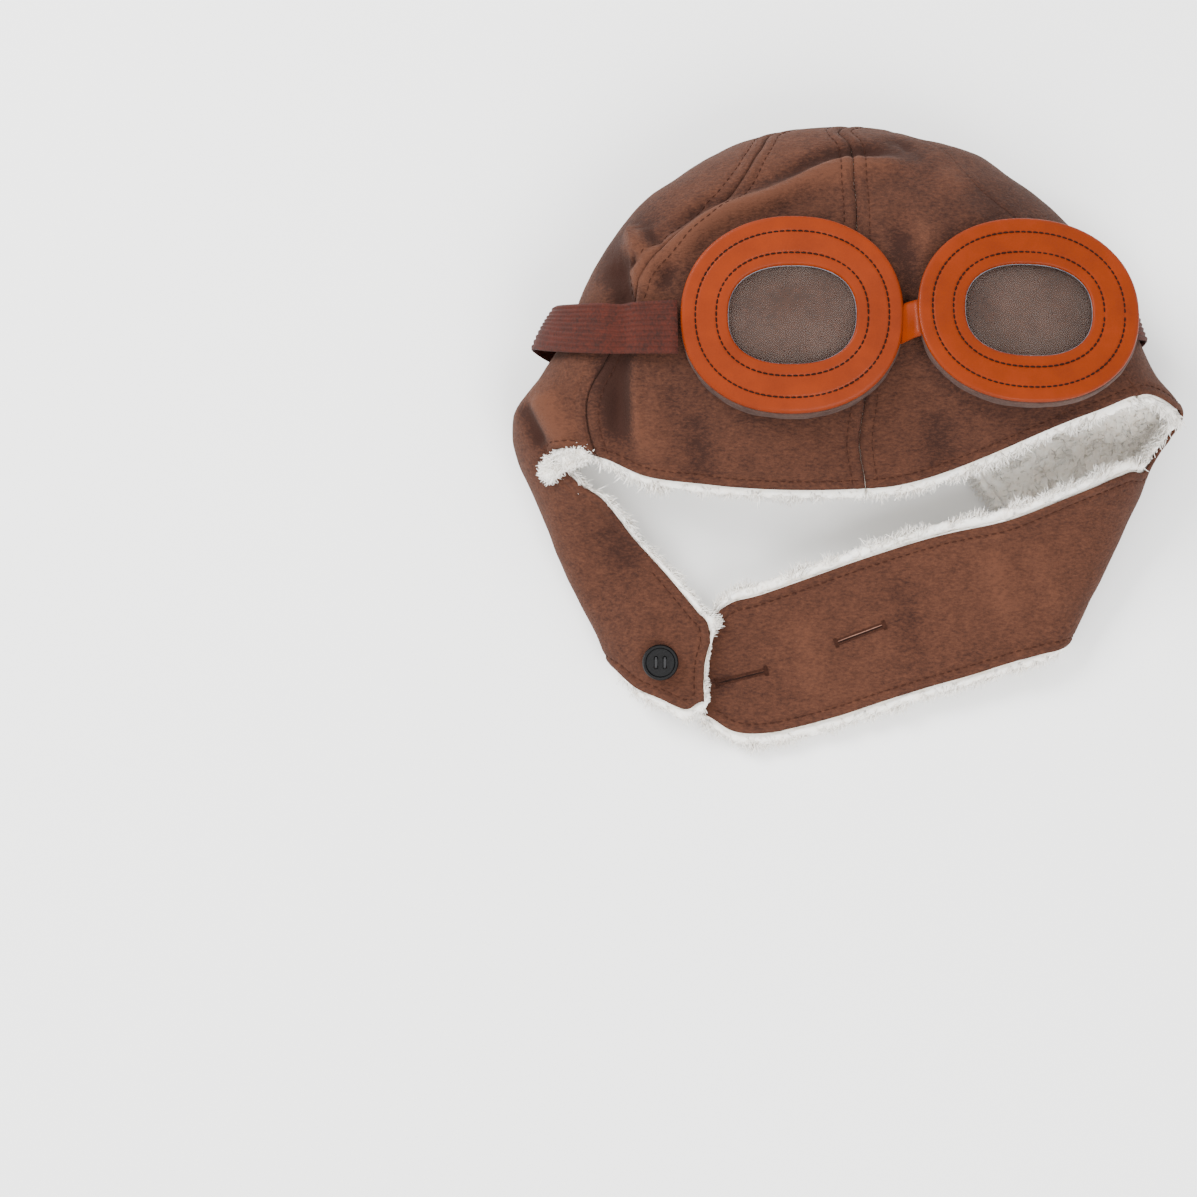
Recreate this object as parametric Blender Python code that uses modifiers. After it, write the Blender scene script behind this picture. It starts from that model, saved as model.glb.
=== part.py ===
"""A child's earflap hat with goggles, lying on its back. Metres, +Z up, +Y towards the top of the crown.

The hat is one hollow form, pressed flat from front to back. A point of it is named by a place on a disc:
the middle of the disc is the top of the crown, the distance from the middle tells how far down the hat
the point lies, and the direction tells where round the hat it lies (right, front, left or rear). Panels,
flaps and linings are regions of that disc between two border curves.
"""

import math

import bmesh
import bpy
import numpy as np

# Driving sizes in metres
HALF_WIDTH = 0.1305
HAT_LENGTH = 0.235
CROWN_DEPTH = 0.072
SUEDE = 0.0012
FLEECE = 0.0035
GAP = 0.0003
SEAM = 0.0005
FLEECE_SEAM = 0.0016
FLEECE_GAP = 0.0006
# How much of its first row the fleece leaves out, where the panels come to a point
FLEECE_TIP = 0.35
# How far the edge of a layer bulges, as a share of its thickness
EDGE_ROUND = 0.2

GOGGLE_WIDTH = 0.0852
GOGGLE_HEIGHT = 0.0740
OPENING_WIDTH = 0.049
OPENING_HEIGHT = 0.037
GOGGLE_LEATHER = 0.0022
GOGGLE_SHAPE = 2.15
OPENING_SHAPE = 2.4
PAD_LEAST = 0.0028
PAD_MOST = 0.008
PAD_PROUD = 0.0008
PAD_GAP = 0.0009
LENS = 0.001
LENS_HIDDEN = 0.002
BRIDGE_HEIGHT = 0.0146
BRIDGE_LEATHER = 0.0018
ELASTIC_WIDTH = 0.0185
ELASTIC = 0.0014

BUTTON_DIAMETER = 0.014
BUTTON_THICKNESS = 0.0026
BUTTON_RIM = 0.0016
BUTTON_DISH = 0.0007
BUTTON_HOLE = 0.0018
BUTTON_HOLES_APART = 0.0034
THREAD = 0.0010
THREAD_PAD = 0.0008
BUTTONHOLE_LENGTH = 0.0195
BUTTONHOLE_WIDTH = 0.0008

# How much squarer the rear of each section is than its front
REAR_FULLER = 1.6
# Where the crown seams meet, on the disc: a little behind the top edge
CROWN_TOP = np.array((0.0, -0.15))
# The share of a seam at which its panels begin, so that their tips stay apart
SEAM_START = 0.008

# Sections across the hat, from the top of the crown to the tip of the strap. Down is a share of
# HAT_LENGTH, left and right are shares of HALF_WIDTH, and the heights of the side folds, of the front
# and of the rear are shares of CROWN_DEPTH. Fullness 2 is an ellipse, and more is squarer.
# down, left, right, side, front, rear, fullness
SECTIONS = (
    (0.000, -0.026, 0.026, 0.42, 0.42, 0.420, 2.0),
    (0.021, 0.300, 0.218, 0.43, 0.65, 0.236, 2.2),
    (0.055, 0.421, 0.401, 0.44, 0.79, 0.125, 2.4),
    (0.089, 0.513, 0.483, 0.46, 0.87, 0.070, 2.5),
    (0.123, 0.601, 0.565, 0.47, 0.92, 0.050, 2.6),
    (0.189, 0.698, 0.682, 0.47, 0.98, 0.052, 3.1),
    (0.288, 0.799, 0.815, 0.46, 1.00, 0.055, 3.5),
    (0.353, 0.843, 0.855, 0.43, 0.98, 0.057, 3.8),
    (0.416, 0.917, 0.908, 0.38, 0.91, 0.055, 4.1),
    (0.480, 0.996, 0.990, 0.32, 0.79, 0.010, 4.6),
    (0.512, 0.999, 0.955, 0.29, 0.73, -0.015, 5.0),
    (0.543, 0.987, 0.914, 0.26, 0.66, -0.015, 5.5),
    (0.608, 0.934, 0.866, 0.22, 0.53, -0.015, 7.5),
    (0.673, 0.887, 0.810, 0.19, 0.39, -0.015, 12.0),
    (0.737, 0.840, 0.752, 0.16, 0.32, -0.015, 14.0),
    (0.802, 0.778, 0.693, 0.13, 0.26, -0.015, 18.0),
    (0.868, 0.713, 0.634, 0.11, 0.21, -0.010, 20.0),
    (0.932, 0.645, 0.581, 0.08, 0.155, -0.005, 20.0),
    (1.000, 0.578, 0.528, 0.06, 0.110, 0.000, 20.0),
)

# Folds of the cloth on the front: the two ends as shares across and down, then the width and the bow as
# shares of HALF_WIDTH and the height as a share of CROWN_DEPTH, below nought in a valley.
# across, down, across, down, width, bow, height
FOLDS = (
    (-0.63, 0.275, -0.27, 0.140, 0.050, 0.02, 0.050),
    (-0.27, 0.140, 0.16, 0.070, 0.045, 0.01, 0.045),
    (-0.58, 0.230, -0.24, 0.115, 0.035, 0.02, -0.035),
    (-0.24, 0.115, 0.20, 0.055, 0.035, 0.01, -0.030),
    (-0.64, 0.245, -0.60, 0.190, 0.045, 0.00, 0.050),
    (-0.67, 0.250, -0.69, 0.520, 0.030, 0.01, -0.035),
    (0.45, 0.620, 0.75, 0.600, 0.050, 0.00, 0.030),
    (0.55, 0.700, 0.62, 0.800, 0.040, 0.00, 0.025),
)
FOLD_END = 0.15

# Edges and seams, as shares across and down on the front (+1) or rear (-1) of the hat.
# side, across, down
FRONT_SEAM_LEFT = (
    (1, -0.274, 0.063),
    (1, -0.357, 0.142),
    (1, -0.504, 0.212),
    (1, -0.622, 0.293),
    (1, -0.735, 0.421),
    (1, -0.750, 0.562),
)
FRONT_SEAM_RIGHT = (
    (1, 0.290, 0.063),
    (1, 0.400, 0.142),
    (1, 0.540, 0.212),
    (1, 0.640, 0.293),
    (1, 0.760, 0.400),
    (1, 0.850, 0.465),
)
CENTRE_SEAM = ((1, 0.006, 0.057), (1, 0.012, 0.148), (1, 0.018, 0.317), (1, 0.032, 0.503), (1, 0.044, 0.613))
FRONT_HEM = (
    (1, -0.750, 0.562),
    (1, -0.610, 0.592),
    (1, -0.445, 0.605),
    (1, -0.248, 0.613),
    (1, -0.003, 0.613),
    (1, 0.130, 0.608),
    (1, 0.248, 0.593),
    (1, 0.439, 0.555),
    (1, 0.700, 0.498),
    (1, 0.850, 0.465),
)
NAPE_LEFT = (-1, -0.740, 0.517)
NAPE_RIGHT = (-1, 0.365, 0.530)

# Each flap in stretches: the face edge and the nape edge of each, side by side, and how many rows of
# faces it has. The first stretch starts where the panel's seams end.
RIGHT_STRETCHES = (
    (((1, 0.850, 0.465), (1, 0.965, 0.474), (1, 0.975, 0.500)), (NAPE_RIGHT, (-1, 0.439, 0.590)), 3),
    (((1, 0.916, 0.540),), ((-1, 0.504, 0.646), (-1, 0.587, 0.746)), 3),
    (
        ((1, 0.822, 0.581), (1, 0.734, 0.601)),
        ((-1, 0.640, 0.830), (1, 0.655, 0.850), (1, 0.622, 0.862), (1, 0.548, 0.873)),
        4,
    ),
    (
        ((1, 0.469, 0.658), (1, 0.251, 0.683), (1, 0.059, 0.714), (1, -0.106, 0.745), (1, -0.280, 0.777)),
        ((1, 0.351, 0.905), (1, 0.153, 0.936), (1, -0.027, 0.968), (1, -0.150, 0.986), (1, -0.239, 0.996)),
        10,
    ),
    (((1, -0.350, 0.787), (1, -0.420, 0.822)), ((1, -0.350, 0.992), (1, -0.440, 0.965)), 3),
)
LEFT_STRETCHES = (
    (((1, -0.750, 0.562), (1, -0.872, 0.563)), (NAPE_LEFT, (-1, -0.838, 0.620)), 3),
    (((1, -0.800, 0.603),), ((-1, -0.813, 0.663), (-1, -0.749, 0.779), (-1, -0.720, 0.830)), 4),
    (
        ((1, -0.730, 0.628), (1, -0.645, 0.682), (1, -0.536, 0.745)),
        ((-1, -0.705, 0.860), (1, -0.705, 0.878), (1, -0.675, 0.893), (1, -0.622, 0.920)),
        5,
    ),
    (((1, -0.450, 0.800),), ((1, -0.563, 0.938),), 2),
    (((1, -0.418, 0.822), (1, -0.412, 0.850)), ((1, -0.480, 0.957), (1, -0.430, 0.945)), 3),
)

# The left flap lies on the strap: it starts to lift at these shares, and is fully up after these more
LIFT_ACROSS, LIFT_WITHIN = -0.76, 0.19
LIFT_DOWN, LIFT_BELOW = 0.70, 0.10

CROWN_ROWS = 9
FRONT_COLUMNS = 8
SIDE_COLUMNS = 11
BACK_COLUMNS = 10
ROW_SAMPLES = 240
# Columns gather where the cloth turns: a turn of one radian counts as this much more cloth
FOLD_WEIGHT = 0.014

# The middle of each goggle, across and down, and how steeply it leans across and up the hat
GOGGLES = {"left": (-0.177, 0.354, 0.03, 0.18), "right": (0.515, 0.346, -0.17, -0.16)}
GOGGLE_SIDES = 32
GOGGLE_BEND = 0.002
BRIDGE_BELOW_MIDDLE = 0.0035
BRIDGE_COLUMNS = 9
# The elastic: turn round the hat in degrees, share down, and how far it stands off the crown, in metres
ELASTIC_PATH = (
    (128, 0.367, 0.0042),
    (142, 0.366, 0.0034),
    (160, 0.360, 0.0038),
    (180, 0.353, 0.0048),
    (200, 0.354, 0.0022),
    (230, 0.358, 0.0010),
    (270, 0.360, 0.0010),
    (315, 0.350, 0.0010),
    (340, 0.335, 0.0008),
    (357, 0.325, 0.0012),
)
ELASTIC_COLUMNS = 34

# Button and buttonholes: shares across and down, and the slant of the slit in degrees
BUTTON_PLACE = (-0.560, 0.879)
BUTTONHOLES = ((-0.320, 0.906, 14), (0.031, 0.837, 20))

COLOURS = {
    "brown_suede": ("#744837", 0.92, 0.0),
    "cream_fleece": ("#E2DBD0", 1.0, 0.0),
    "tan_leather": ("#AC4F21", 0.42, 0.0),
    "mauve_foam": ("#9A8480", 0.95, 0.0),
    "clear_plastic": ("#A08A80", 0.08, 0.0),
    "brown_elastic": ("#6E372A", 0.8, 0.0),
    "black_plastic": ("#121113", 0.3, 0.0),
    "black_thread": ("#0C0C0E", 0.8, 0.0),
}


def linear_colour(code):
    """The linear RGBA colour of an sRGB hex code."""
    channels = [int(code[i : i + 2], 16) / 255 for i in (1, 3, 5)]
    return [c / 12.92 if c <= 0.04045 else ((c + 0.055) / 1.055) ** 2.4 for c in channels] + [1.0]


def material(name):
    """The Principled material of this name, made once."""
    if name in bpy.data.materials:
        return bpy.data.materials[name]
    code, roughness, metallic = COLOURS[name]
    made = bpy.data.materials.new(name)
    made.use_nodes = True
    shader = made.node_tree.nodes["Principled BSDF"]
    shader.inputs["Base Color"].default_value = linear_colour(code)
    shader.inputs["Roughness"].default_value = roughness
    shader.inputs["Metallic"].default_value = metallic
    return made


def smooth(keys, rows, at):
    """Values at these keys on a smooth curve through the rows: a cubic between each two of them."""
    keys, rows = np.asarray(keys, float), np.asarray(rows, float)
    slopes = np.gradient(rows, keys, axis=0)
    at = np.clip(at, keys[0], keys[-1])
    i = np.clip(np.searchsorted(keys, at) - 1, 0, len(keys) - 2)
    step = (keys[i + 1] - keys[i])[..., None]
    t = (at - keys[i])[..., None] / step
    return (
        (2 * t**3 - 3 * t**2 + 1) * rows[i]
        + (t**3 - 2 * t**2 + t) * step * slopes[i]
        + (3 * t**2 - 2 * t**3) * rows[i + 1]
        + (t**3 - t**2) * step * slopes[i + 1]
    )


def smoothstep(value):
    """Nought to one with soft ends."""
    t = np.clip(value, 0, 1)
    return t * t * (3 - 2 * t)


def section_at(reach):
    """The columns of SECTIONS after down, where the disc's radius is reach."""
    table = np.array(SECTIONS)
    return np.moveaxis(smooth(np.sqrt(table[:, 0]), table[:, 1:], reach), -1, 0)


def disc_place(side, across, down):
    """The disc point of a place on the front or rear, given as shares across and down."""
    reach = math.sqrt(down)
    left, right = section_at(np.array(reach))[:2]
    cosine = float(np.clip((2 * across - (right - left)) / (right + left), -1, 1))
    return reach * np.array((cosine, side * math.sqrt(1 - cosine**2)))


def plain_form(disc):
    """Points of the hat's outer surface before folds, for points of the disc."""
    reach = np.maximum(np.hypot(disc[..., 0], disc[..., 1]), 1e-6)
    cosine = disc[..., 0] / reach
    left, right, side, front, rear, fullness = section_at(reach)
    facing = disc[..., 1] >= 0
    power = np.where(facing, fullness, REAR_FULLER * fullness)
    rise = np.sqrt(np.maximum(1 - np.abs(cosine) ** power, 0))
    height = side + (np.where(facing, front, rear) - side) * rise
    return np.stack(
        (
            ((right - left) + (right + left) * cosine) / 2 * HALF_WIDTH,
            (1 - reach**2) * HAT_LENGTH,
            np.maximum(height * CROWN_DEPTH, 0),
        ),
        axis=-1,
    )


def outward(disc):
    """Unit normals of the plain form, out of the hat."""
    step = 0.002
    along_p = plain_form(disc + (step, 0)) - plain_form(disc - (step, 0))
    along_q = plain_form(disc + (0, step)) - plain_form(disc - (0, step))
    normal = np.cross(along_q, along_p)
    return normal / np.maximum(np.linalg.norm(normal, axis=-1, keepdims=True), 1e-12)


def goggle_shade(x, y):
    """Nought under the goggles, which press the cloth flat, and one away from them."""
    clear = np.ones_like(x)
    for across, down, *_ in GOGGLES.values():
        dx = (x - across * HALF_WIDTH) / (GOGGLE_WIDTH / 2)
        dy = (y - (1 - down) * HAT_LENGTH) / (GOGGLE_HEIGHT / 2)
        clear = clear * smoothstep((np.sqrt(dx**2 + dy**2) - 0.95) / 0.25)
    return clear


def fold_height(disc, points):
    """How far the folds push the front of the cloth out, in metres."""
    x, y = points[..., 0], points[..., 1]
    total = np.zeros_like(x)
    for across0, down0, across1, down1, width, bow, height in FOLDS:
        start = np.array((across0 * HALF_WIDTH, (1 - down0) * HAT_LENGTH))
        run = np.array((across1 * HALF_WIDTH, (1 - down1) * HAT_LENGTH)) - start
        length = math.hypot(*run)
        along = ((x - start[0]) * run[0] + (y - start[1]) * run[1]) / length**2
        off = ((y - start[1]) * run[0] - (x - start[0]) * run[1]) / length
        off = off - 4 * bow * HALF_WIDTH * along * (1 - along)
        ends = smoothstep((along + FOLD_END) / (2 * FOLD_END)) * smoothstep((1 + FOLD_END - along) / (2 * FOLD_END))
        total += height * CROWN_DEPTH * ends * np.exp(-((off / (width * HALF_WIDTH)) ** 2))
    reach = np.hypot(disc[..., 0], disc[..., 1])
    facing = smoothstep(disc[..., 1] / np.maximum(reach, 1e-6) / 0.5)
    return total * facing * goggle_shade(x, y)


def left_lift(disc, points):
    """How far the end of the left flap is raised, to lie on the strap."""
    across = points[..., 0] / HALF_WIDTH
    down = 1 - points[..., 1] / HAT_LENGTH
    full = SUEDE + FLEECE_GAP + FLEECE + 2 * GAP
    ramp = smoothstep((across - LIFT_ACROSS) / LIFT_WITHIN) * smoothstep((down - LIFT_DOWN) / LIFT_BELOW)
    return full * ramp * (disc[..., 1] > 0)


def cloth(disc, depth=0.0, lifted=False):
    """Points of the folded cloth, this deep below its outer surface."""
    points = plain_form(disc)
    push = fold_height(disc, points) - depth
    if lifted:
        push = push + left_lift(disc, points)
    return points + outward(disc) * push[..., None]


def to_polar(disc):
    """Angle and distance of disc points about CROWN_TOP."""
    off = disc - CROWN_TOP
    return np.stack((np.arctan2(off[..., 1], off[..., 0]), np.hypot(off[..., 0], off[..., 1])), axis=-1)


def from_polar(polar):
    """Disc points of angles and distances about CROWN_TOP."""
    angle, distance = polar[..., 0], polar[..., 1]
    return CROWN_TOP + np.stack((distance * np.cos(angle), distance * np.sin(angle)), axis=-1)


def along_edge(places, count, start=0.0):
    """Disc points spaced evenly along a smooth edge through these disc points."""
    places = np.asarray(places)
    steps = np.linalg.norm(np.diff(places, axis=0), axis=1)
    keys = np.concatenate(((0,), np.cumsum(steps)))
    return smooth(keys, places, np.linspace(start * keys[-1], keys[-1], count))


def seam(places, count=CROWN_ROWS):
    """A crown seam from the top of the crown through these places."""
    return along_edge([CROWN_TOP] + [disc_place(*p) for p in places], count, SEAM_START)


def flap_borders(face_seam, nape_seam, stretches):
    """The two border curves of a side panel with its flap, row by row, each smooth from end to end."""
    borders = []
    for edge, crown_seam in enumerate((face_seam, nape_seam)):
        places, ends = [], []
        for stretch in stretches:
            places += [disc_place(*p) for p in stretch[edge]]
            ends.append(len(places) - 1)
        steps = np.linalg.norm(np.diff(places, axis=0), axis=1)
        keys = np.concatenate(((0,), np.cumsum(steps)))
        curves, start = [seam(crown_seam)], 0
        for end, stretch in zip(ends, stretches):
            curves.append(smooth(keys, places, np.linspace(keys[start], keys[end], stretch[2] + 1)[1:]))
            start = end
        borders.append(np.concatenate(curves))
    return borders


def region(first, second, columns, hem=None, straight=False):
    """A grid of disc points between two borders, closer at folds, each row trimmed for its seams.

    Rows bend round the top of the crown, or run straight across the disc. A hem is the edge that the
    last row follows, given as places.
    """
    a, b = to_polar(first), to_polar(second)
    b[:, 0] = a[:, 0] + (b[:, 0] - a[:, 0] + math.pi) % (2 * math.pi) - math.pi
    share = np.linspace(0, 1, ROW_SAMPLES)[None, :, None]
    polar = a[:, None] * (1 - share) + b[:, None] * share
    if straight:
        polar = to_polar(first[:, None] * (1 - share) + second[:, None] * share)
    if hem is not None:
        edge = to_polar(along_edge([disc_place(*p) for p in hem], ROW_SAMPLES))
        order = np.argsort(edge[:, 0])
        wanted = np.interp(polar[-1, :, 0], edge[order, 0], edge[order, 1])
        weight = (polar[:, :, 1] / polar[-1, :, 1]) ** 3
        polar[..., 1] += weight * (wanted - polar[-1, :, 1])
    fine = from_polar(polar)
    grid = np.empty((len(fine), columns, 2))
    for index, (points, normals) in enumerate(zip(cloth(fine), outward(fine))):
        steps = np.linalg.norm(np.diff(points, axis=0), axis=1)
        lengths = np.concatenate(((0,), np.cumsum(steps)))
        trim = min(SEAM / 2, lengths[-1] / 4)
        bends = steps + FOLD_WEIGHT * np.linalg.norm(np.diff(normals, axis=0), axis=1)
        effort = np.concatenate(((0,), np.cumsum(bends)))
        ends = np.interp((trim, lengths[-1] - trim), lengths, effort)
        at = np.linspace(*ends, columns)
        grid[index] = np.stack([np.interp(at, effort, fine[index, :, k]) for k in (0, 1)], axis=-1)
    return grid


def add_object(name, mesh, collection, slot):
    """An object of this mesh in the collection, with its material."""
    mesh.materials.append(material(slot))
    mesh.shade_smooth()
    mesh.set_sharp_from_angle(angle=math.radians(40))
    made = bpy.data.objects.new(name, mesh)
    collection.objects.link(made)
    made.parent = bpy.data.objects[collection.name + "_origin"]
    return made


def grid_mesh(name, points, facing_out=None):
    """A mesh of a grid whose vertices are these points, turned so that its faces follow facing_out."""
    rows, columns = points.shape[:2]
    bm = bmesh.new()
    bmesh.ops.create_grid(bm, x_segments=columns - 1, y_segments=rows - 1, size=1)
    for vertex in bm.verts:
        column = round((vertex.co.x + 1) / 2 * (columns - 1))
        row = round((vertex.co.y + 1) / 2 * (rows - 1))
        vertex.co = points[row, column]
    bm.normal_update()
    if facing_out is not None:
        middle = bm.faces[:][len(bm.faces) // 2]
        near = np.linalg.norm(points - np.array(middle.calc_center_median()), axis=-1).argmin()
        if np.dot(middle.normal, facing_out.reshape(-1, 3)[near]) < 0:
            bmesh.ops.reverse_faces(bm, faces=bm.faces)
    mesh = bpy.data.meshes.new(name)
    bm.to_mesh(mesh)
    bm.free()
    return mesh


def shell_mesh(name, outer, inner):
    """A closed shell between two layers of points: one grid wound round both, with rounded ends."""
    wound = np.concatenate((outer, inner[:, ::-1], outer[:, :1]), axis=1)
    middle = (outer + inner) / 2
    thickness = np.linalg.norm(outer - inner, axis=-1).mean()
    ends = []
    for edge, beside in ((0, 1), (-1, -2)):
        away = middle[edge] - middle[beside]
        away = away / np.linalg.norm(away, axis=-1, keepdims=True)
        row = middle[edge] + away * thickness * EDGE_ROUND
        ends.append(np.concatenate((row, row[::-1], row[:1]))[None])
    mesh = grid_mesh(name, np.concatenate((ends[0], wound, ends[1])))
    weld_and_face_out(mesh)
    return mesh


def sheet(name, grid, collection, slot, depth, thickness, lifted=False):
    """A layer of the hat over a region of the disc, between two depths below the outer surface."""
    mesh = shell_mesh(name, cloth(grid, depth, lifted), cloth(grid, depth + thickness, lifted))
    add_object(name, mesh, collection, slot)


def drawn_in(grid):
    """The same region with its borders pulled in, for the wider seams of the fleece."""
    inner = grid.copy()
    inner[0] += FLEECE_TIP * (grid[1] - grid[0])
    for edge, beside in ((0, 1), (-1, -2)):
        run = cloth(grid[:, beside]) - cloth(grid[:, edge])
        share = (FLEECE_SEAM - SEAM) / 2 / np.maximum(np.linalg.norm(run, axis=-1), 1e-9)
        share = np.minimum(share, 0.3)[:, None]
        inner[:, edge] += share * (grid[:, beside] - grid[:, edge])
    return inner


def build_hat(collection):
    """The panels, the flaps with the strap, and the fleece behind each of them."""
    left_face, left_nape = flap_borders(FRONT_SEAM_LEFT, (NAPE_LEFT,), LEFT_STRETCHES)
    right_face, right_nape = flap_borders(FRONT_SEAM_RIGHT, (NAPE_RIGHT,), RIGHT_STRETCHES)
    left, centre, right = seam(FRONT_SEAM_LEFT), seam(CENTRE_SEAM), seam(FRONT_SEAM_RIGHT)
    shapes = {
        "crown_front_left": (left, centre, FRONT_COLUMNS, FRONT_HEM),
        "crown_front_right": (centre, right, FRONT_COLUMNS, FRONT_HEM),
        "crown_back": (seam((NAPE_LEFT,)), seam((NAPE_RIGHT,)), BACK_COLUMNS),
        "side_flap_left": (left_face, left_nape, SIDE_COLUMNS, None, True),
        "side_flap_right": (right_face, right_nape, SIDE_COLUMNS, None, True),
    }
    linings = {
        "crown_front_left": "lining_front_left",
        "crown_front_right": "lining_front_right",
        "crown_back": "lining_back",
        "side_flap_left": "lining_left",
        "side_flap_right": "lining_right",
    }
    for name, shape in shapes.items():
        lifted = name == "side_flap_left"
        grid = region(*shape)
        sheet(name, grid, collection, "brown_suede", 0, SUEDE, lifted)
        sheet(linings[name], drawn_in(grid), collection, "cream_fleece", SUEDE + FLEECE_GAP, FLEECE, lifted)


def front_height(x, y):
    """Height of the plain crown front over a place of the plan."""
    reach = np.sqrt(np.clip(1 - y / HAT_LENGTH, 1e-6, 1))
    left, right, side, front, _, fullness = section_at(reach)
    cosine = np.clip((2 * x / HALF_WIDTH - (right - left)) / (right + left), -1, 1)
    return (side + (front - side) * np.sqrt(1 - np.abs(cosine) ** fullness)) * CROWN_DEPTH


def goggle_outline(which, width, height, shape, angles):
    """Plan points of a goggle's rounded outline of this width and height."""
    across, down = GOGGLES[which][:2]
    cosine, sine = np.cos(angles), np.sin(angles)
    x = np.sign(cosine) * np.abs(cosine) ** (2 / shape) * width / 2
    y = np.sign(sine) * np.abs(sine) ** (2 / shape) * height / 2
    return np.stack((x + across * HALF_WIDTH, y + (1 - down) * HAT_LENGTH), axis=-1)


def goggle_base(which, x, y):
    """Height of the underside of a goggle's leather: it leans with the crown and bends a little."""
    across, down, lean_across, lean_up = GOGGLES[which]
    middle = np.array((across * HALF_WIDTH, (1 - down) * HAT_LENGTH))

    def leaning(px, py):
        dx, dy = px - middle[0], py - middle[1]
        return lean_across * dx + lean_up * dy - GOGGLE_BEND * (2 * dx / GOGGLE_WIDTH) ** 2

    angles = np.linspace(0, 2 * math.pi, GOGGLE_SIDES, endpoint=False)
    rim = goggle_outline(which, GOGGLE_WIDTH, GOGGLE_HEIGHT, GOGGLE_SHAPE, angles)
    under = np.concatenate([middle + share * (rim - middle) for share in (0.3, 0.6, 0.8, 1)])
    rise = (front_height(under[:, 0], under[:, 1]) - leaning(under[:, 0], under[:, 1])).max()
    return rise + PAD_LEAST + leaning(x, y)


def ring_object(name, which, inner, outer, profile, collection, slot):
    """A closed ring between two outlines. The profile goes round its section: share across, height rule."""
    angles = np.linspace(0, 2 * math.pi, GOGGLE_SIDES + 1)
    angles[-1] = 0
    inside = goggle_outline(which, *inner, angles)
    outside = goggle_outline(which, *outer, angles)
    rows = []
    for share, rule in profile + profile[:1]:
        plan = inside + share * (outside - inside)
        rows.append(np.column_stack((plan, rule(plan[:, 0], plan[:, 1]))))
    mesh = grid_mesh(name, np.array(rows))
    weld_and_face_out(mesh)
    return add_object(name, mesh, collection, slot)


def weld_and_face_out(mesh):
    """Joins the rows that meet, and turns the faces out."""
    bm = bmesh.new()
    bm.from_mesh(mesh)
    bmesh.ops.remove_doubles(bm, verts=bm.verts, dist=1e-6)
    bmesh.ops.recalc_face_normals(bm, faces=bm.faces)
    bmesh.ops.triangulate(bm, faces=bm.faces)
    bm.to_mesh(mesh)
    bm.free()


def build_goggle(which, collection):
    """One goggle: the leather ring, the clear pane behind its opening and the foam pad under it."""
    opening = (OPENING_WIDTH, OPENING_HEIGHT, OPENING_SHAPE)
    rim = (GOGGLE_WIDTH, GOGGLE_HEIGHT, GOGGLE_SHAPE)

    def base(x, y):
        return goggle_base(which, x, y)

    def at(height):
        return lambda x, y: base(x, y) + height * GOGGLE_LEATHER

    leather = [(0, at(0)), (0, at(0.7)), (0.06, at(1)), (0.5, at(1.15)), (0.94, at(1)), (1, at(0.7)), (1, at(0))]
    ring_object("goggle_frame_" + which, which, opening, rim, leather, collection, "tan_leather")

    pane = [size + 2 * LENS_HIDDEN for size in opening[:2]] + [OPENING_SHAPE]
    angles = np.linspace(0, 2 * math.pi, GOGGLE_SIDES + 1)
    angles[-1] = 0
    edge = goggle_outline(which, *pane, angles)
    middle = edge[:-1].mean(axis=0)
    rows = []
    for share in (0, 0.4, 0.75, 1):
        plan = middle + share * (edge - middle)
        rows.append(np.column_stack((plan, base(plan[:, 0], plan[:, 1]) - GAP)))
    mesh = grid_mesh("goggle_lens_" + which, np.array(rows))
    weld_and_face_out(mesh)
    lens = add_object("goggle_lens_" + which, mesh, collection, "clear_plastic")
    solid = lens.modifiers.new("Thickness", "SOLIDIFY")
    solid.thickness = LENS
    solid.offset = -1 if lens.data.polygons[0].normal.z > 0 else 1

    hole = [size + 4 * GAP for size in pane[:2]] + [OPENING_SHAPE]
    edge_of_pad = [size + 2 * PAD_PROUD for size in rim[:2]] + [GOGGLE_SHAPE]

    def top(x, y):
        return base(x, y) - GAP

    def bottom(x, y):
        return np.maximum(front_height(x, y) + PAD_GAP, base(x, y) - PAD_MOST)

    foam = [(0, bottom), (0, top), (0.5, top), (1, top), (1, bottom), (0.5, bottom)]
    ring_object("goggle_pad_" + which, which, hole, edge_of_pad, foam, collection, "mauve_foam")


def build_bridge(collection):
    """The short leather strap between the goggles."""
    along = np.linspace(0, 1, BRIDGE_COLUMNS)[:, None]
    share = np.concatenate((along, along, smoothstep(along)), axis=1)
    rows = []
    for row in (-1, 0, 1):
        ends = []
        for which, side in (("left", 1), ("right", -1)):
            across, down = GOGGLES[which][:2]
            x = across * HALF_WIDTH + side * (GOGGLE_WIDTH / 2 + 3 * GAP)
            y = (1 - down) * HAT_LENGTH - BRIDGE_BELOW_MIDDLE + row * BRIDGE_HEIGHT / 2
            ends.append(np.array((x, y, goggle_base(which, x, y))))
        rows.append(ends[0] + share * (ends[1] - ends[0]))
    points = np.array(rows)
    up = np.zeros_like(points) + (0, 0, 1)
    bridge = add_object("goggle_bridge", grid_mesh("goggle_bridge", points, up), collection, "tan_leather")
    solid = bridge.modifiers.new("Thickness", "SOLIDIFY")
    solid.thickness = BRIDGE_LEATHER
    solid.offset = 1


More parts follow.
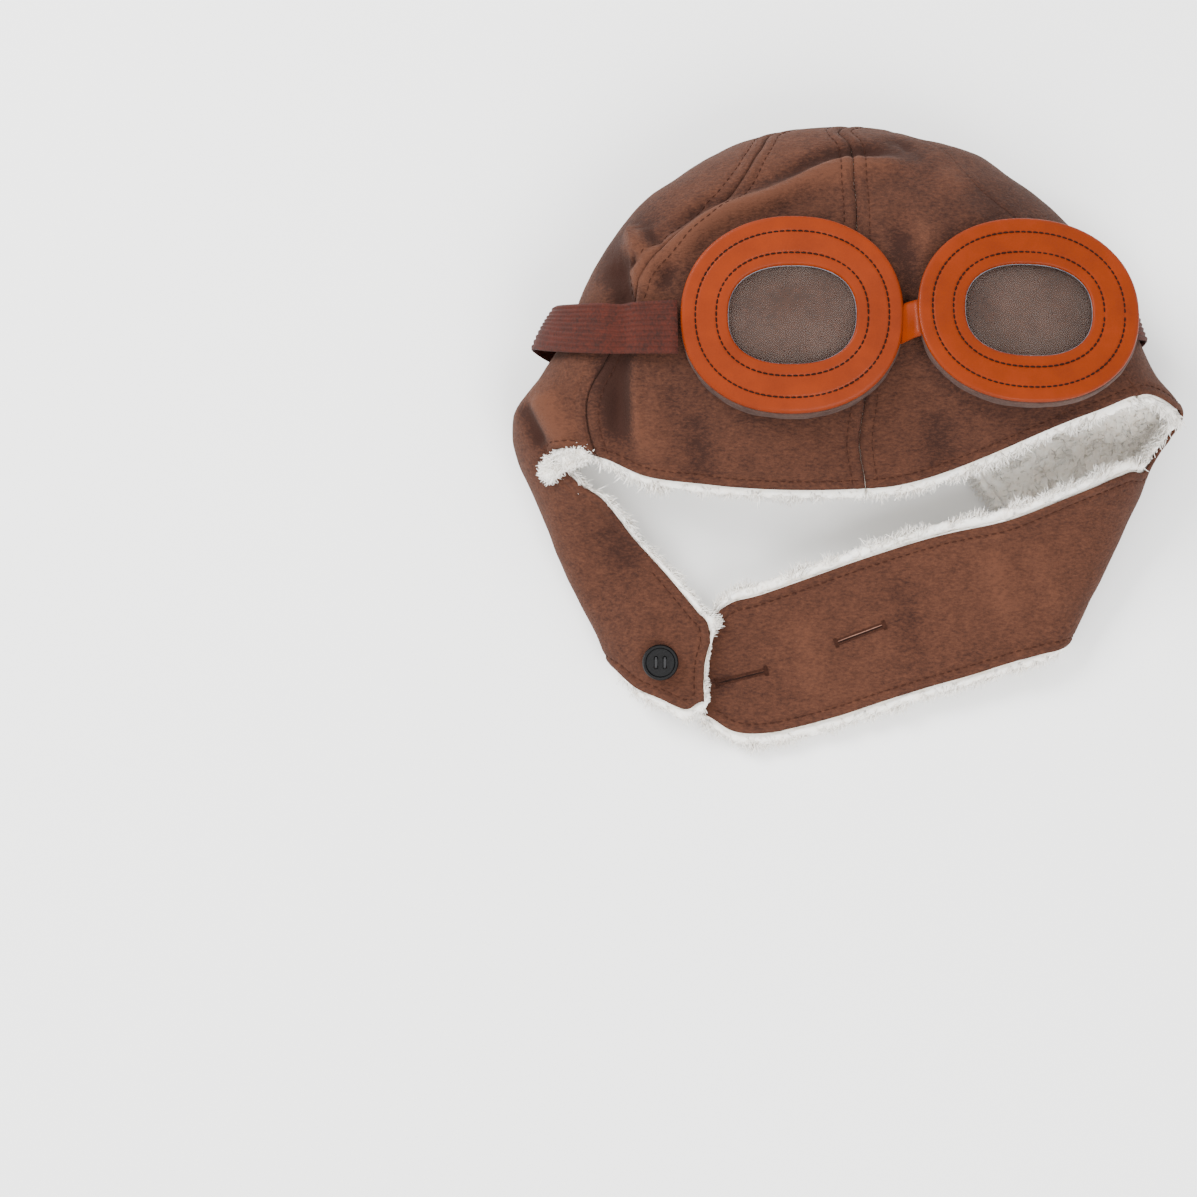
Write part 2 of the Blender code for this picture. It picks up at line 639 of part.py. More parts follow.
def elastic_turns(reach):
    """Turns along one edge of the elastic, from the left goggle round the hat to the right one."""
    turns = np.array([row[0] for row in ELASTIC_PATH], float)
    beside = GOGGLES["left"][0] * HALF_WIDTH - GOGGLE_WIDTH / 2 - PAD_PROUD - 2 * GAP
    left, right = section_at(reach)[:2]
    cosine = np.clip((2 * beside / HALF_WIDTH - (right - left)) / (right + left), -1, 1)
    return np.linspace(math.degrees(math.acos(cosine)), turns[-1], ELASTIC_COLUMNS)


def build_elastic(collection):
    """The elastic from goggle to goggle, round the left side and under the back of the crown."""
    path = np.array(ELASTIC_PATH)
    rows, outs = [], []
    for side in (-1, -0.33, 0.33, 1):
        reach = np.sqrt(path[0, 1] + side * ELASTIC_WIDTH / 2 / HAT_LENGTH)
        turns = elastic_turns(reach)
        down, off = smooth(path[:, 0], path[:, 1:], turns).T
        reach = np.sqrt(down + side * ELASTIC_WIDTH / 2 / HAT_LENGTH)
        turn = np.radians(turns)
        disc = np.stack((reach * np.cos(turn), reach * np.sin(turn)), axis=-1)
        rows.append(cloth(disc) + outward(disc) * (np.maximum(off, 0) + 2 * GAP)[:, None])
        outs.append(outward(disc))
    mesh = grid_mesh("elastic_band", np.array(rows), np.array(outs))
    band = add_object("elastic_band", mesh, collection, "brown_elastic")
    solid = band.modifiers.new("Thickness", "SOLIDIFY")
    solid.thickness = ELASTIC
    solid.offset = 1


def build_button(collection, cutters):
    """The four-hole button on the end of the left flap, and the thread through it."""
    disc = disc_place(1, *BUTTON_PLACE)[None]
    place = cloth(disc, 0, True)[0]
    normal = outward(disc)[0]
    seat = bpy.data.objects.new("button_seat", None)
    collection.objects.link(seat)
    seat.parent = bpy.data.objects[collection.name + "_origin"]
    seat.location = place + normal * 2 * GAP
    seat.rotation_euler = (math.atan2(-normal[1], normal[2]), math.asin(normal[0]), 0)

    under = THREAD_PAD + GAP
    radius = BUTTON_DIAMETER / 2
    profile = (
        (0, under + BUTTON_THICKNESS - BUTTON_DISH),
        (radius - BUTTON_RIM, under + BUTTON_THICKNESS - BUTTON_DISH),
        (radius - BUTTON_RIM * 0.75, under + BUTTON_THICKNESS),
        (radius - BUTTON_RIM * 0.25, under + BUTTON_THICKNESS),
        (radius, under + BUTTON_THICKNESS * 0.7),
        (radius, under + BUTTON_THICKNESS * 0.35),
        (radius * 0.8, under),
        (0, under),
    )
    mesh = bpy.data.meshes.new("chin_button")
    bm = bmesh.new()
    points = [bm.verts.new((x, 0, z)) for x, z in profile]
    for a, b in zip(points, points[1:]):
        bm.edges.new((a, b))
    bmesh.ops.spin(
        bm, geom=bm.verts[:] + bm.edges[:], cent=(0, 0, 0), axis=(0, 0, 1), angle=2 * math.pi, steps=28
    )
    bmesh.ops.remove_doubles(bm, verts=bm.verts, dist=1e-6)
    bmesh.ops.recalc_face_normals(bm, faces=bm.faces)
    bm.to_mesh(mesh)
    bm.free()
    button = add_object("chin_button", mesh, collection, "black_plastic")
    button.parent = seat

    apart = BUTTON_HOLES_APART / 2
    corners = [(x, y) for x in (-apart, apart) for y in (-apart, apart)]
    thread = add_object("button_thread", cylinder_mesh(0.0031, THREAD_PAD, THREAD_PAD / 2, 16), collection, "black_thread")
    thread.parent = seat
    top = under + BUTTON_THICKNESS
    for i, (x, y) in enumerate(corners):
        cutter = bpy.data.objects.new(f"button_hole_{i}", cylinder_mesh(BUTTON_HOLE / 2, 0.01, top, 10, x, y))
        link_cutter(cutter, cutters, seat)
        add_boolean(button, cutter, "DIFFERENCE")
        height = top - THREAD_PAD / 2
        post = cylinder_mesh(THREAD / 2, height, THREAD_PAD / 2 + height / 2, 8, x, y)
        piece = bpy.data.objects.new(f"thread_post_{i}", post)
        link_cutter(piece, cutters, seat)
        add_boolean(thread, piece, "UNION")
    for i, x in enumerate((-apart, apart)):
        bar = box_mesh((THREAD * 0.9, BUTTON_HOLES_APART, THREAD * 0.7), (x, 0, top + THREAD * 0.1))
        piece = bpy.data.objects.new(f"thread_bar_{i}", bar)
        link_cutter(piece, cutters, seat)
        add_boolean(thread, piece, "UNION")


def cylinder_mesh(radius, depth, middle, sides, x=0.0, y=0.0):
    """An upright cylinder with its middle at this height."""
    bm = bmesh.new()
    bmesh.ops.create_cone(bm, cap_ends=True, segments=sides, radius1=radius, radius2=radius, depth=depth)
    bmesh.ops.translate(bm, verts=bm.verts, vec=(x, y, middle))
    mesh = bpy.data.meshes.new("cylinder")
    bm.to_mesh(mesh)
    bm.free()
    return mesh


def box_mesh(size, middle):
    """A box of this size about this point."""
    bm = bmesh.new()
    bmesh.ops.create_cube(bm, size=1)
    bmesh.ops.scale(bm, verts=bm.verts, vec=size)
    bmesh.ops.translate(bm, verts=bm.verts, vec=middle)
    mesh = bpy.data.meshes.new("box")
    bm.to_mesh(mesh)
    bm.free()
    return mesh


def link_cutter(cutter, cutters, parent):
    """Puts a cutter or a joined shape out of the render."""
    cutters.objects.link(cutter)
    cutter.parent = parent
    cutter.hide_render = True
    cutter.display_type = "WIRE"


def add_boolean(target, tool, operation):
    """A Boolean modifier on the target."""
    modifier = target.modifiers.new(tool.name, "BOOLEAN")
    modifier.operation = operation
    modifier.object = tool


def cut_buttonholes(collection, cutters):
    """Two slits through the strap and its fleece."""
    for i, (across, down, slant) in enumerate(BUTTONHOLES):
        disc = disc_place(1, across, down)[None]
        place, normal = plain_form(disc)[0], outward(disc)[0]
        size = (BUTTONHOLE_LENGTH, BUTTONHOLE_WIDTH, 4 * (SUEDE + FLEECE))
        cutter = bpy.data.objects.new(f"buttonhole_{i}", box_mesh(size, (0, 0, 0)))
        link_cutter(cutter, cutters, bpy.data.objects[collection.name + "_origin"])
        cutter.location = place - normal * (SUEDE + FLEECE) / 2
        cutter.rotation_euler = (0, 0, math.radians(slant))
        for name in ("side_flap_right", "lining_right"):
            add_boolean(bpy.data.objects[name], cutter, "DIFFERENCE")


def stand_on_origin(collection):
    """Moves the whole hat so that the middle of its underside is at the origin."""
    bpy.context.view_layer.update()
    graph = bpy.context.evaluated_depsgraph_get()
    corners = []
    for made in collection.objects:
        if made.type != "MESH":
            continue
        evaluated = made.evaluated_get(graph)
        mesh = evaluated.to_mesh()
        points = np.empty(len(mesh.vertices) * 3)
        mesh.vertices.foreach_get("co", points)
        world = np.array(evaluated.matrix_world)
        corners.append(points.reshape(-1, 3) @ world[:3, :3].T + world[:3, 3])
        evaluated.to_mesh_clear()
    points = np.concatenate(corners)
    low, high = points.min(axis=0), points.max(axis=0)
    origin = bpy.data.objects[collection.name + "_origin"]
    origin.location = (-(low[0] + high[0]) / 2, -(low[1] + high[1]) / 2, -low[2])


def main():
    """Clears the scene and builds the hat."""
    for old in list(bpy.data.objects):
        bpy.data.objects.remove(old, do_unlink=True)
    collection = bpy.data.collections.new("earflap_hat")
    cutters = bpy.data.collections.new("cutters")
    for made in (collection, cutters):
        bpy.context.scene.collection.children.link(made)
    collection.objects.link(bpy.data.objects.new("earflap_hat_origin", None))
    build_hat(collection)
    cut_buttonholes(collection, cutters)
    for which in GOGGLES:
        build_goggle(which, collection)
    build_bridge(collection)
    build_elastic(collection)
    build_button(collection, cutters)
    stand_on_origin(collection)


main()
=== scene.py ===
"""The dressed earflap hat: suede panels, sherpa lining, stitched goggles, elastic and button over the frame.

The hat is one hollow form, pressed flat from front to back. A point of it is named by a place on a disc:
the middle of the disc is the top of the crown, the distance from the middle tells how far down the hat
the point lies, and the direction tells where round the hat it lies. All sizes are in metres.
"""

import logging
import math
from dataclasses import dataclass, field, replace
from enum import Enum
from typing import Any, Callable, Iterable, Sequence

import bpy
import numpy as np
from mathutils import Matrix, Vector, noise
from mathutils.kdtree import KDTree


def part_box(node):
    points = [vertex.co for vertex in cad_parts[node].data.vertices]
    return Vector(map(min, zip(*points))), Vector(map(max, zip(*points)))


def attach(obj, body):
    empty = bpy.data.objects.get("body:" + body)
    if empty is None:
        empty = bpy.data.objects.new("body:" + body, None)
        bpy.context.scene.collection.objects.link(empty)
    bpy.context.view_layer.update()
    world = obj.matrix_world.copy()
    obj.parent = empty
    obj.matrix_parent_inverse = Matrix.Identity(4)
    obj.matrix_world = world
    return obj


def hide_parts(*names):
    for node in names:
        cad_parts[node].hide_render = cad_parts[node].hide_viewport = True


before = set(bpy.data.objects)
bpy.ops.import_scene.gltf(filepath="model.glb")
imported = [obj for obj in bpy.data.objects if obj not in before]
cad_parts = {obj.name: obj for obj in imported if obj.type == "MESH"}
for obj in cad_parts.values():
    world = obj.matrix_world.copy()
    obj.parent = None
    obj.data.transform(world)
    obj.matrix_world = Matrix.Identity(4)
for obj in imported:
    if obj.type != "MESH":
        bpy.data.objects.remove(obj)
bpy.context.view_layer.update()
LOG = logging.getLogger("earflap_hat")

Array = np.ndarray
Place = tuple[float, float, float]
Edge = tuple[Array, Array, Array, Array]
UPWARD = np.array(((0.0, 0.0, 1.0),))

# Sections across the hat, from the top of the crown to the tip of the strap. Down is a share of the
# hat's length, left and right are shares of its half width, and the heights of the side folds, of the
# front and of the rear are shares of the crown's depth. Fullness 2 is an ellipse, and more is squarer.
# down, left, right, side, front, rear, fullness
SECTIONS = (
    (0.000, -0.026, 0.026, 0.42, 0.42, 0.420, 2.0),
    (0.021, 0.300, 0.218, 0.43, 0.65, 0.236, 2.2),
    (0.055, 0.421, 0.401, 0.44, 0.79, 0.125, 2.4),
    (0.089, 0.513, 0.483, 0.46, 0.87, 0.070, 2.5),
    (0.123, 0.601, 0.565, 0.47, 0.92, 0.050, 2.6),
    (0.189, 0.698, 0.682, 0.47, 0.98, 0.052, 3.1),
    (0.288, 0.799, 0.815, 0.46, 1.00, 0.055, 3.5),
    (0.353, 0.843, 0.855, 0.43, 0.98, 0.057, 3.8),
    (0.416, 0.917, 0.908, 0.38, 0.91, 0.055, 4.1),
    (0.480, 0.996, 0.990, 0.32, 0.79, 0.010, 4.6),
    (0.512, 0.999, 0.955, 0.29, 0.73, -0.015, 5.0),
    (0.543, 0.987, 0.914, 0.26, 0.66, -0.015, 5.5),
    (0.608, 0.934, 0.866, 0.22, 0.53, -0.015, 7.5),
    (0.673, 0.887, 0.810, 0.19, 0.39, -0.015, 12.0),
    (0.737, 0.840, 0.752, 0.16, 0.32, -0.015, 14.0),
    (0.802, 0.778, 0.693, 0.13, 0.26, -0.015, 18.0),
    (0.868, 0.713, 0.634, 0.11, 0.21, -0.010, 20.0),
    (0.932, 0.645, 0.581, 0.08, 0.155, -0.005, 20.0),
    (1.000, 0.578, 0.528, 0.06, 0.110, 0.000, 20.0),
)

# Broad folds: two ends as shares across and down, width and bow as shares of the half width, and the
# height as a share of the crown's depth.
# across, down, across, down, width, bow, height
FOLDS = (
    (-0.63, 0.275, -0.27, 0.140, 0.050, 0.02, 0.050),
    (-0.27, 0.140, 0.16, 0.070, 0.045, 0.01, 0.045),
    (-0.58, 0.230, -0.24, 0.115, 0.035, 0.02, -0.035),
    (-0.24, 0.115, 0.20, 0.055, 0.035, 0.01, -0.030),
    (-0.64, 0.245, -0.60, 0.190, 0.045, 0.00, 0.050),
    (-0.67, 0.250, -0.69, 0.520, 0.030, 0.01, -0.035),
    (0.45, 0.620, 0.75, 0.600, 0.050, 0.00, 0.030),
    (0.55, 0.700, 0.62, 0.800, 0.040, 0.00, 0.025),
)

# Sharp creases of the suede front: width and height in metres, then places across and down.
CREASES = (
    (
        0.0055, 0.0026,
        ((-0.625, 0.279), (-0.519, 0.228), (-0.407, 0.165), (-0.268, 0.150), (-0.032, 0.088), (0.100, 0.080)),
    ),
    (0.0034, -0.0038, ((-0.566, 0.244), (-0.445, 0.172), (-0.268, 0.137), (-0.003, 0.066), (0.203, 0.077))),
    (0.0034, 0.0034, ((-0.650, 0.190), (-0.625, 0.215), (-0.590, 0.245))),
    (0.0022, -0.0034, ((-0.620, 0.185), (-0.585, 0.215), (-0.560, 0.235))),
    (0.0030, -0.0022, ((-0.640, 0.253), (-0.618, 0.258))),
    (0.0040, -0.0036, ((-0.700, 0.245), (-0.680, 0.285), (-0.665, 0.325))),
    (0.0045, 0.0022, ((-0.640, 0.262), (-0.610, 0.305))),
    (0.0034, -0.0026, ((-0.545, 0.262), (-0.540, 0.300))),
    (0.0052, -0.0034, ((-0.713, 0.399), (-0.695, 0.470), (-0.675, 0.540))),
    (0.0024, 0.0018, ((-0.650, 0.410), (-0.640, 0.480), (-0.628, 0.550))),
    (0.0060, 0.0016, ((-0.600, 0.430), (-0.590, 0.570))),
    (0.0022, -0.0014, ((0.100, 0.044), (0.140, 0.040), (0.185, 0.058))),
    (0.0050, -0.0020, ((0.130, 0.200), (0.160, 0.255), (0.172, 0.316))),
    (0.0055, 0.0014, ((0.190, 0.190), (0.215, 0.255), (0.225, 0.310))),
    (0.0026, -0.0038, ((-0.972, 0.462), (-0.945, 0.500), (-0.905, 0.545))),
    (0.0050, 0.0022, ((-0.930, 0.450), (-0.880, 0.505), (-0.830, 0.545))),
    (0.0060, -0.0014, ((-0.460, 0.505), (-0.430, 0.600))),
    (0.0070, -0.0012, ((0.230, 0.500), (0.280, 0.580))),
    (0.0050, -0.0016, ((0.330, 0.120), (0.420, 0.190), (0.460, 0.230))),
    (0.0060, 0.0014, ((0.250, 0.095), (0.360, 0.150), (0.420, 0.215))),
    (0.0060, -0.0014, ((-0.230, 0.190), (-0.180, 0.150), (-0.100, 0.125))),
    (0.0070, 0.0010, ((0.420, 0.700), (0.480, 0.820))),
    (0.0060, -0.0010, ((0.150, 0.740), (0.200, 0.880))),
    (0.0070, 0.0010, ((-0.150, 0.800), (-0.100, 0.940))),
    (0.0060, -0.0012, ((-0.720, 0.660), (-0.640, 0.740))),
    (0.0040, -0.0010, ((-0.400, 0.915), (-0.340, 0.905))),
)

FRONT_SEAM_LEFT = (
    (1, -0.274, 0.063), (1, -0.357, 0.142), (1, -0.504, 0.212), (1, -0.622, 0.293), (1, -0.735, 0.421),
    (1, -0.750, 0.562),
)
FRONT_SEAM_RIGHT = (
    (1, 0.290, 0.063), (1, 0.400, 0.142), (1, 0.540, 0.212), (1, 0.640, 0.293), (1, 0.760, 0.400),
    (1, 0.850, 0.465),
)
CENTRE_SEAM = ((1, 0.006, 0.057), (1, 0.012, 0.148), (1, 0.018, 0.317), (1, 0.032, 0.503), (1, 0.044, 0.613))
FRONT_HEM = (
    (1, -0.750, 0.562), (1, -0.610, 0.592), (1, -0.445, 0.605), (1, -0.248, 0.613), (1, -0.003, 0.613),
    (1, 0.130, 0.608), (1, 0.248, 0.593), (1, 0.439, 0.555), (1, 0.700, 0.498), (1, 0.850, 0.465),
)
NAPE_LEFT = (-1, -0.740, 0.517)
NAPE_RIGHT = (-1, 0.365, 0.530)

# Each flap in stretches: its face edge, its nape edge, and its rows of faces in the frame.
RIGHT_STRETCHES = (
    (((1, 0.850, 0.465), (1, 0.965, 0.474), (1, 0.975, 0.500)), (NAPE_RIGHT, (-1, 0.439, 0.590)), 3),
    (((1, 0.916, 0.540),), ((-1, 0.504, 0.646), (-1, 0.587, 0.746)), 3),
    (
        ((1, 0.822, 0.581), (1, 0.734, 0.601)),
        ((-1, 0.640, 0.830), (1, 0.655, 0.850), (1, 0.622, 0.862), (1, 0.548, 0.873)),
        4,
    ),
    (
        ((1, 0.469, 0.658), (1, 0.251, 0.683), (1, 0.059, 0.714), (1, -0.106, 0.745), (1, -0.280, 0.777)),
        ((1, 0.351, 0.905), (1, 0.153, 0.936), (1, -0.027, 0.968), (1, -0.150, 0.986), (1, -0.239, 0.996)),
        10,
    ),
    (((1, -0.350, 0.787), (1, -0.420, 0.822)), ((1, -0.350, 0.992), (1, -0.440, 0.965)), 3),
)
LEFT_STRETCHES = (
    (((1, -0.750, 0.562), (1, -0.872, 0.563)), (NAPE_LEFT, (-1, -0.838, 0.620)), 3),
    (((1, -0.800, 0.603),), ((-1, -0.813, 0.663), (-1, -0.749, 0.779), (-1, -0.720, 0.830)), 4),
    (
        ((1, -0.730, 0.628), (1, -0.645, 0.682), (1, -0.536, 0.745)),
        ((-1, -0.705, 0.860), (1, -0.705, 0.878), (1, -0.675, 0.893), (1, -0.622, 0.920)),
        5,
    ),
    (((1, -0.450, 0.800),), ((1, -0.563, 0.938),), 2),
    (((1, -0.418, 0.822), (1, -0.412, 0.850)), ((1, -0.480, 0.957), (1, -0.430, 0.945)), 3),
)

# The elastic: turn round the hat in degrees, share down, and how far it stands off the crown.
ELASTIC_PATH = (
    (128, 0.367, 0.0042), (142, 0.366, 0.0034), (160, 0.360, 0.0038), (180, 0.353, 0.0048),
    (200, 0.354, 0.0022), (230, 0.358, 0.0010), (270, 0.360, 0.0010), (315, 0.350, 0.0010),
    (340, 0.335, 0.0008), (357, 0.325, 0.0012), (379, 0.334, 0.0012),
)

# The buttonholes: shares across and down, the slant of the slit in degrees, and whether it gapes.
BUTTONHOLES = ((-0.320, 0.906, 14, False), (0.031, 0.837, 20, True))

# Patches of painted shade and painted light on the suede: middle as shares across and down, reach as a
# share of the half width, and how much lighter.
PAINTED_SHADING_PATCHES = (
    (0.42, 0.17, 0.24, -0.30), (0.12, 0.03, 0.14, -0.15), (-0.70, 0.20, 0.13, -0.60),
    (-0.63, 0.46, 0.13, -0.30), (-0.84, 0.43, 0.12, 0.10), (-0.30, 0.10, 0.10, 0.10),
    (0.62, 0.52, 0.16, -0.15), (0.30, 0.72, 0.20, 0.08),
)


# Noise that roughens the cloth, layer by layer: height, size of its lumps in metres, seed. The heights are
# metres for the waves and the curls, and shares for the rest.
SUEDE_WAVES = ((0.0006, 0.022, 1.0), (0.00025, 0.008, 3.0))
FLEECE_CURLS = ((0.0009, 0.0040, 5.0), (0.0007, 0.0022, 6.0))
ROLL_LUMPS = ((0.40, 0.0040, 8.0), (0.30, 0.0016, 9.0))
BALL_LUMPS = ((0.3, 0.0045, 3.0), (0.15, 0.002, 4.0))
TUFT_CLUMPS = ((1.0, 0.007, 4.0), (0.5, 0.0025, 5.0))


class Slot(str, Enum):
    """The names of the record's material slots."""

    SUEDE = "brown_suede"
    FLEECE = "cream_fleece"
    LEATHER = "tan_leather"
    FOAM = "mauve_foam"
    PANE = "clear_plastic"
    ELASTIC = "brown_elastic"


class Which(str, Enum):
    """The side of the photograph that a goggle lies on."""

    LEFT = "left"
    RIGHT = "right"


def smooth(keys: Sequence[float], rows: Array, at: Array) -> Array:
    """Values on a smooth curve through rows.

    Args:
        keys: Where each row stands, rising.
        rows: The values there.
        at: The keys wanted.

    Returns:
        A cubic between each two rows, at the wanted keys.
    """
    keys, rows = np.asarray(keys, float), np.asarray(rows, float)
    slopes = np.gradient(rows, keys, axis=0)
    at = np.clip(at, keys[0], keys[-1])
    i = np.clip(np.searchsorted(keys, at) - 1, 0, len(keys) - 2)
    step = (keys[i + 1] - keys[i])[..., None]
    t = (at - keys[i])[..., None] / step
    return (
        (2 * t**3 - 3 * t**2 + 1) * rows[i]
        + (t**3 - 2 * t**2 + t) * step * slopes[i]
        + (3 * t**2 - 2 * t**3) * rows[i + 1]
        + (t**3 - t**2) * step * slopes[i + 1]
    )


def smoothstep(value: Array | float) -> Array:
    """Nought to one with soft ends."""
    t = np.clip(value, 0, 1)
    return t * t * (3 - 2 * t)


def running(steps: Array) -> Array:
    """The sums of steps walked, from nought on."""
    return np.concatenate(((0,), np.cumsum(steps)))


def travelled(points: Array | Sequence) -> Array:
    """How far along a line each of its points lies."""
    return running(np.linalg.norm(np.diff(points, axis=0), axis=1))


def read_along(where: Array, at: Array, *parts: Array) -> list[Array]:
    """Vectors read off at some distances along a line.

    Args:
        where: The distances wanted.
        at: How far along each point of the line lies.
        parts: Lists of vectors at the line's points.

    Returns:
        The vectors of each part at the wanted distances.
    """
    return [np.stack([np.interp(where, at, part[:, k]) for k in range(3)], axis=-1) for part in parts]


def along_edge(places: Sequence[Array], count: int, start: float = 0.0) -> Array:
    """Points spaced evenly along a smooth edge through these points, from a share of its length on."""
    places = np.asarray(places)
    keys = travelled(places)
    return smooth(keys, places, np.linspace(start * keys[-1], keys[-1], count))


def noise_at(points: Array, size: float, seed: float = 0.0) -> Array:
    """Smooth noise from -1 to 1.

    Args:
        points: Points, the last axis of length three.
        size: The size of its lumps, in metres.
        seed: A shift that picks another pattern.

    Returns:
        One number for each point.
    """
    flat = (points / size + seed * 17.3).reshape(-1, 3).tolist()
    return np.array([noise.noise(Vector(p)) for p in flat]).reshape(points.shape[:-1])


def lumps_at(points: Array, layers: Iterable, start: float = 0.0) -> Array:
    """The sum of layers of noise, each given as its height, its size and its seed."""
    return sum((height * noise_at(points, size, seed) for height, size, seed in layers), start)


def unit(vectors: Array) -> Array:
    """The vectors with length one."""
    return vectors / np.maximum(np.linalg.norm(vectors, axis=-1, keepdims=True), 1e-12)


def keep_above(points: Array, least: float) -> None:
    """Raises the points that lie lower than this over the floor."""
    points[..., 2] = np.maximum(points[..., 2], least)


def ridge(gap: Array, width: Array | float) -> Array:
    """One in the middle of a ridge, and falling off to nought about two widths away."""
    return np.exp(-((gap / width) ** 2))


def linear(code: str, alpha: float = 1.0) -> tuple[float, float, float, float]:
    """The linear RGBA colour of an sRGB hex code."""
    parts = [int(code[i : i + 2], 16) / 255 for i in (1, 3, 5)]
    rgb = [c / 12.92 if c <= 0.04045 else ((c + 0.055) / 1.055) ** 2.4 for c in parts]
    return (rgb[0], rgb[1], rgb[2], alpha)


def add_node(
    tree: bpy.types.NodeTree, kind: str, inputs: dict[str | int, Any] | None = None, **settings: Any
) -> Any:
    """Adds a node with its settings and links.

    Args:
        tree: The material's node tree.
        kind: The node's type name.
        inputs: Values or output sockets by input name or number.
        settings: Attributes of the node.

    Returns:
        The new node.
    """
    node = tree.nodes.new(kind)
    for key, value in settings.items():
        setattr(node, key, value)
    for key, value in (inputs or {}).items():
        if isinstance(value, bpy.types.NodeSocket):
            tree.links.new(value, node.inputs[key])
        else:
            node.inputs[key].default_value = value
    return node


@dataclass(frozen=True)
class Layer:
    """One layer of noise in a finish: the real size of its grain, its detail and its pull along X, Y, Z."""

    size: float
    detail: float = 2.0
    roughness: float = 0.5
    pull: tuple[float, float, float] = (1.0, 1.0, 1.0)

    def build(self, tree: bpy.types.NodeTree) -> Any:
        """The noise's factor socket."""
        place = add_node(tree, "ShaderNodeTexCoord")
        turned = add_node(tree, "ShaderNodeMapping", {"Vector": place.outputs["Object"], "Scale": self.pull})
        inputs = {"Scale": 1 / self.size, "Detail": self.detail, "Roughness": self.roughness}
        return add_node(tree, "ShaderNodeTexNoise", {"Vector": turned.outputs[0], **inputs}).outputs[0]


@dataclass(frozen=True)
class Finish:
    """A finish whose colour runs between a dark and a light tone, with a bump from its finest layer."""

    name: str
    dark: str
    light: str
    grain: Layer
    mottle: Layer
    patch: Layer
    roughness: float = 0.6
    bump: float = 0.0003
    bump_strength: float = 0.6
    spread: float = 0.16
    sheen: float = 0.0
    sheen_colour: str = "#FFFFFF"
    ior: float = 1.5
    alpha: float = 1.0
    coat: float = 0.0
    shares: tuple[float, float, float] = (0.4, 0.35, 0.25)
    # How strongly the vertices' painted light and shade, the tone attribute, moves the colour
    tone: float = 0.0
    scatter: float = 0.0
    scatter_depth: float = 0.003
    scatter_colour: tuple[float, float, float] = (1.0, 0.92, 0.82)

    def build(self) -> bpy.types.Material:
        """The material, made once."""
        if self.name in bpy.data.materials:
            return bpy.data.materials[self.name]
        made = bpy.data.materials.new(self.name)
        made.use_nodes = True
        tree = made.node_tree
        shader = tree.nodes["Principled BSDF"]
        layers = [layer.build(tree) for layer in (self.grain, self.mottle, self.patch)]

        def combine(operation: str, first: Any, second: Any) -> Any:
            """The output of a math node."""
            return add_node(tree, "ShaderNodeMath", {0: first, 1: second}, operation=operation).outputs[0]

        parts = [combine("MULTIPLY", layer, share) for share, layer in zip(self.shares, layers)]
        if self.tone:
            # The tone attribute is painted light and shade, added to the colour's noise
            painted_shading = add_node(tree, "ShaderNodeAttribute", attribute_name="tone").outputs["Fac"]
            parts.append(combine("MULTIPLY", combine("SUBTRACT", painted_shading, 0.5), self.tone))
        total = parts[0]
        for part in parts[1:]:
            total = combine("ADD", total, part)
        ramp = add_node(tree, "ShaderNodeValToRGB", {"Fac": total})
        ends = ((-self.spread, self.dark), (self.spread, self.light))
        for element, (off, code) in zip(ramp.color_ramp.elements, ends):
            element.position, element.color = 0.5 + off, linear(code)
        tree.links.new(ramp.outputs[0], shader.inputs["Base Color"])
        inputs = {"Height": layers[0], "Distance": self.bump, "Strength": self.bump_strength}
        bump = add_node(tree, "ShaderNodeBump", inputs)
        tree.links.new(bump.outputs[0], shader.inputs["Normal"])
        values = {
            "Roughness": self.roughness,
            "IOR": self.ior,
            "Alpha": self.alpha,
            "Coat Weight": self.coat,
            "Subsurface Weight": self.scatter,
            "Subsurface Scale": self.scatter_depth,
            "Subsurface Radius": self.scatter_colour,
            "Sheen Weight": self.sheen,
            "Sheen Tint": linear(self.sheen_colour),
        }
        for key, value in values.items():
            shader.inputs[key].default_value = value
        return made


# Polyester micro-suede, brushed one way: matt, with short fibres that catch the light in streaks, and
# painted darker in the folds and creases as painted shade and lighter on their ridges as painted light.
SUEDE = Finish(
    "brushed_microsuede", "#260F06", "#4D2C1D",
    Layer(0.0009, 3.0, 0.75, (0.5, 1.0, 1.0)), Layer(0.0045, 4.0, 0.65), Layer(0.030),
    roughness=0.95, bump=0.0007, bump_strength=0.8, sheen=0.05, sheen_colour="#A87458", ior=1.35,
    shares=(0.62, 0.26, 0.12), tone=0.40,
)
# Sherpa fleece, knitted with a curled pile: white tips and warmer hollows between the curls, and deep
# enough for light to scatter in it.
SHERPA = Finish(
    "sherpa_pile", "#EFE6DA", "#FFFCF5", Layer(0.0014, 3.0, 0.6), Layer(0.004), Layer(0.020, 1.0),
    roughness=1.0, bump=0.0006, bump_strength=0.5, sheen=0.2, ior=1.35, scatter=0.35,
)
# Split leather, finished smooth with a thin coat: fine pores and a low sheen.
LEATHER = Finish(
    "smooth_tan_leather", "#5F1E00", "#702500", Layer(0.0006), Layer(0.008, 3.0, 0.55), Layer(0.030, 1.0),
    roughness=0.5, bump=0.00008, bump_strength=0.5, coat=0.03, ior=1.2, shares=(0.2, 0.4, 0.4),
)
# Felted foam, cut and raw at the edge.
FOAM = Finish(
    "felted_foam", "#30201B", "#4C3933", Layer(0.0009, 3.0, 0.6), Layer(0.004), Layer(0.015, 1.0),
    roughness=0.95, bump=0.0004, ior=1.3,
)
# Soft PVC sheet: clear, a little hazy from handling, and glossy.
PANE = Finish(
    "clear_vinyl", "#524640", "#70635C", Layer(0.012, 3.0, 0.6), Layer(0.020), Layer(0.030, 1.0),
    roughness=0.2, bump_strength=0.03, ior=1.4, alpha=0.14,
)
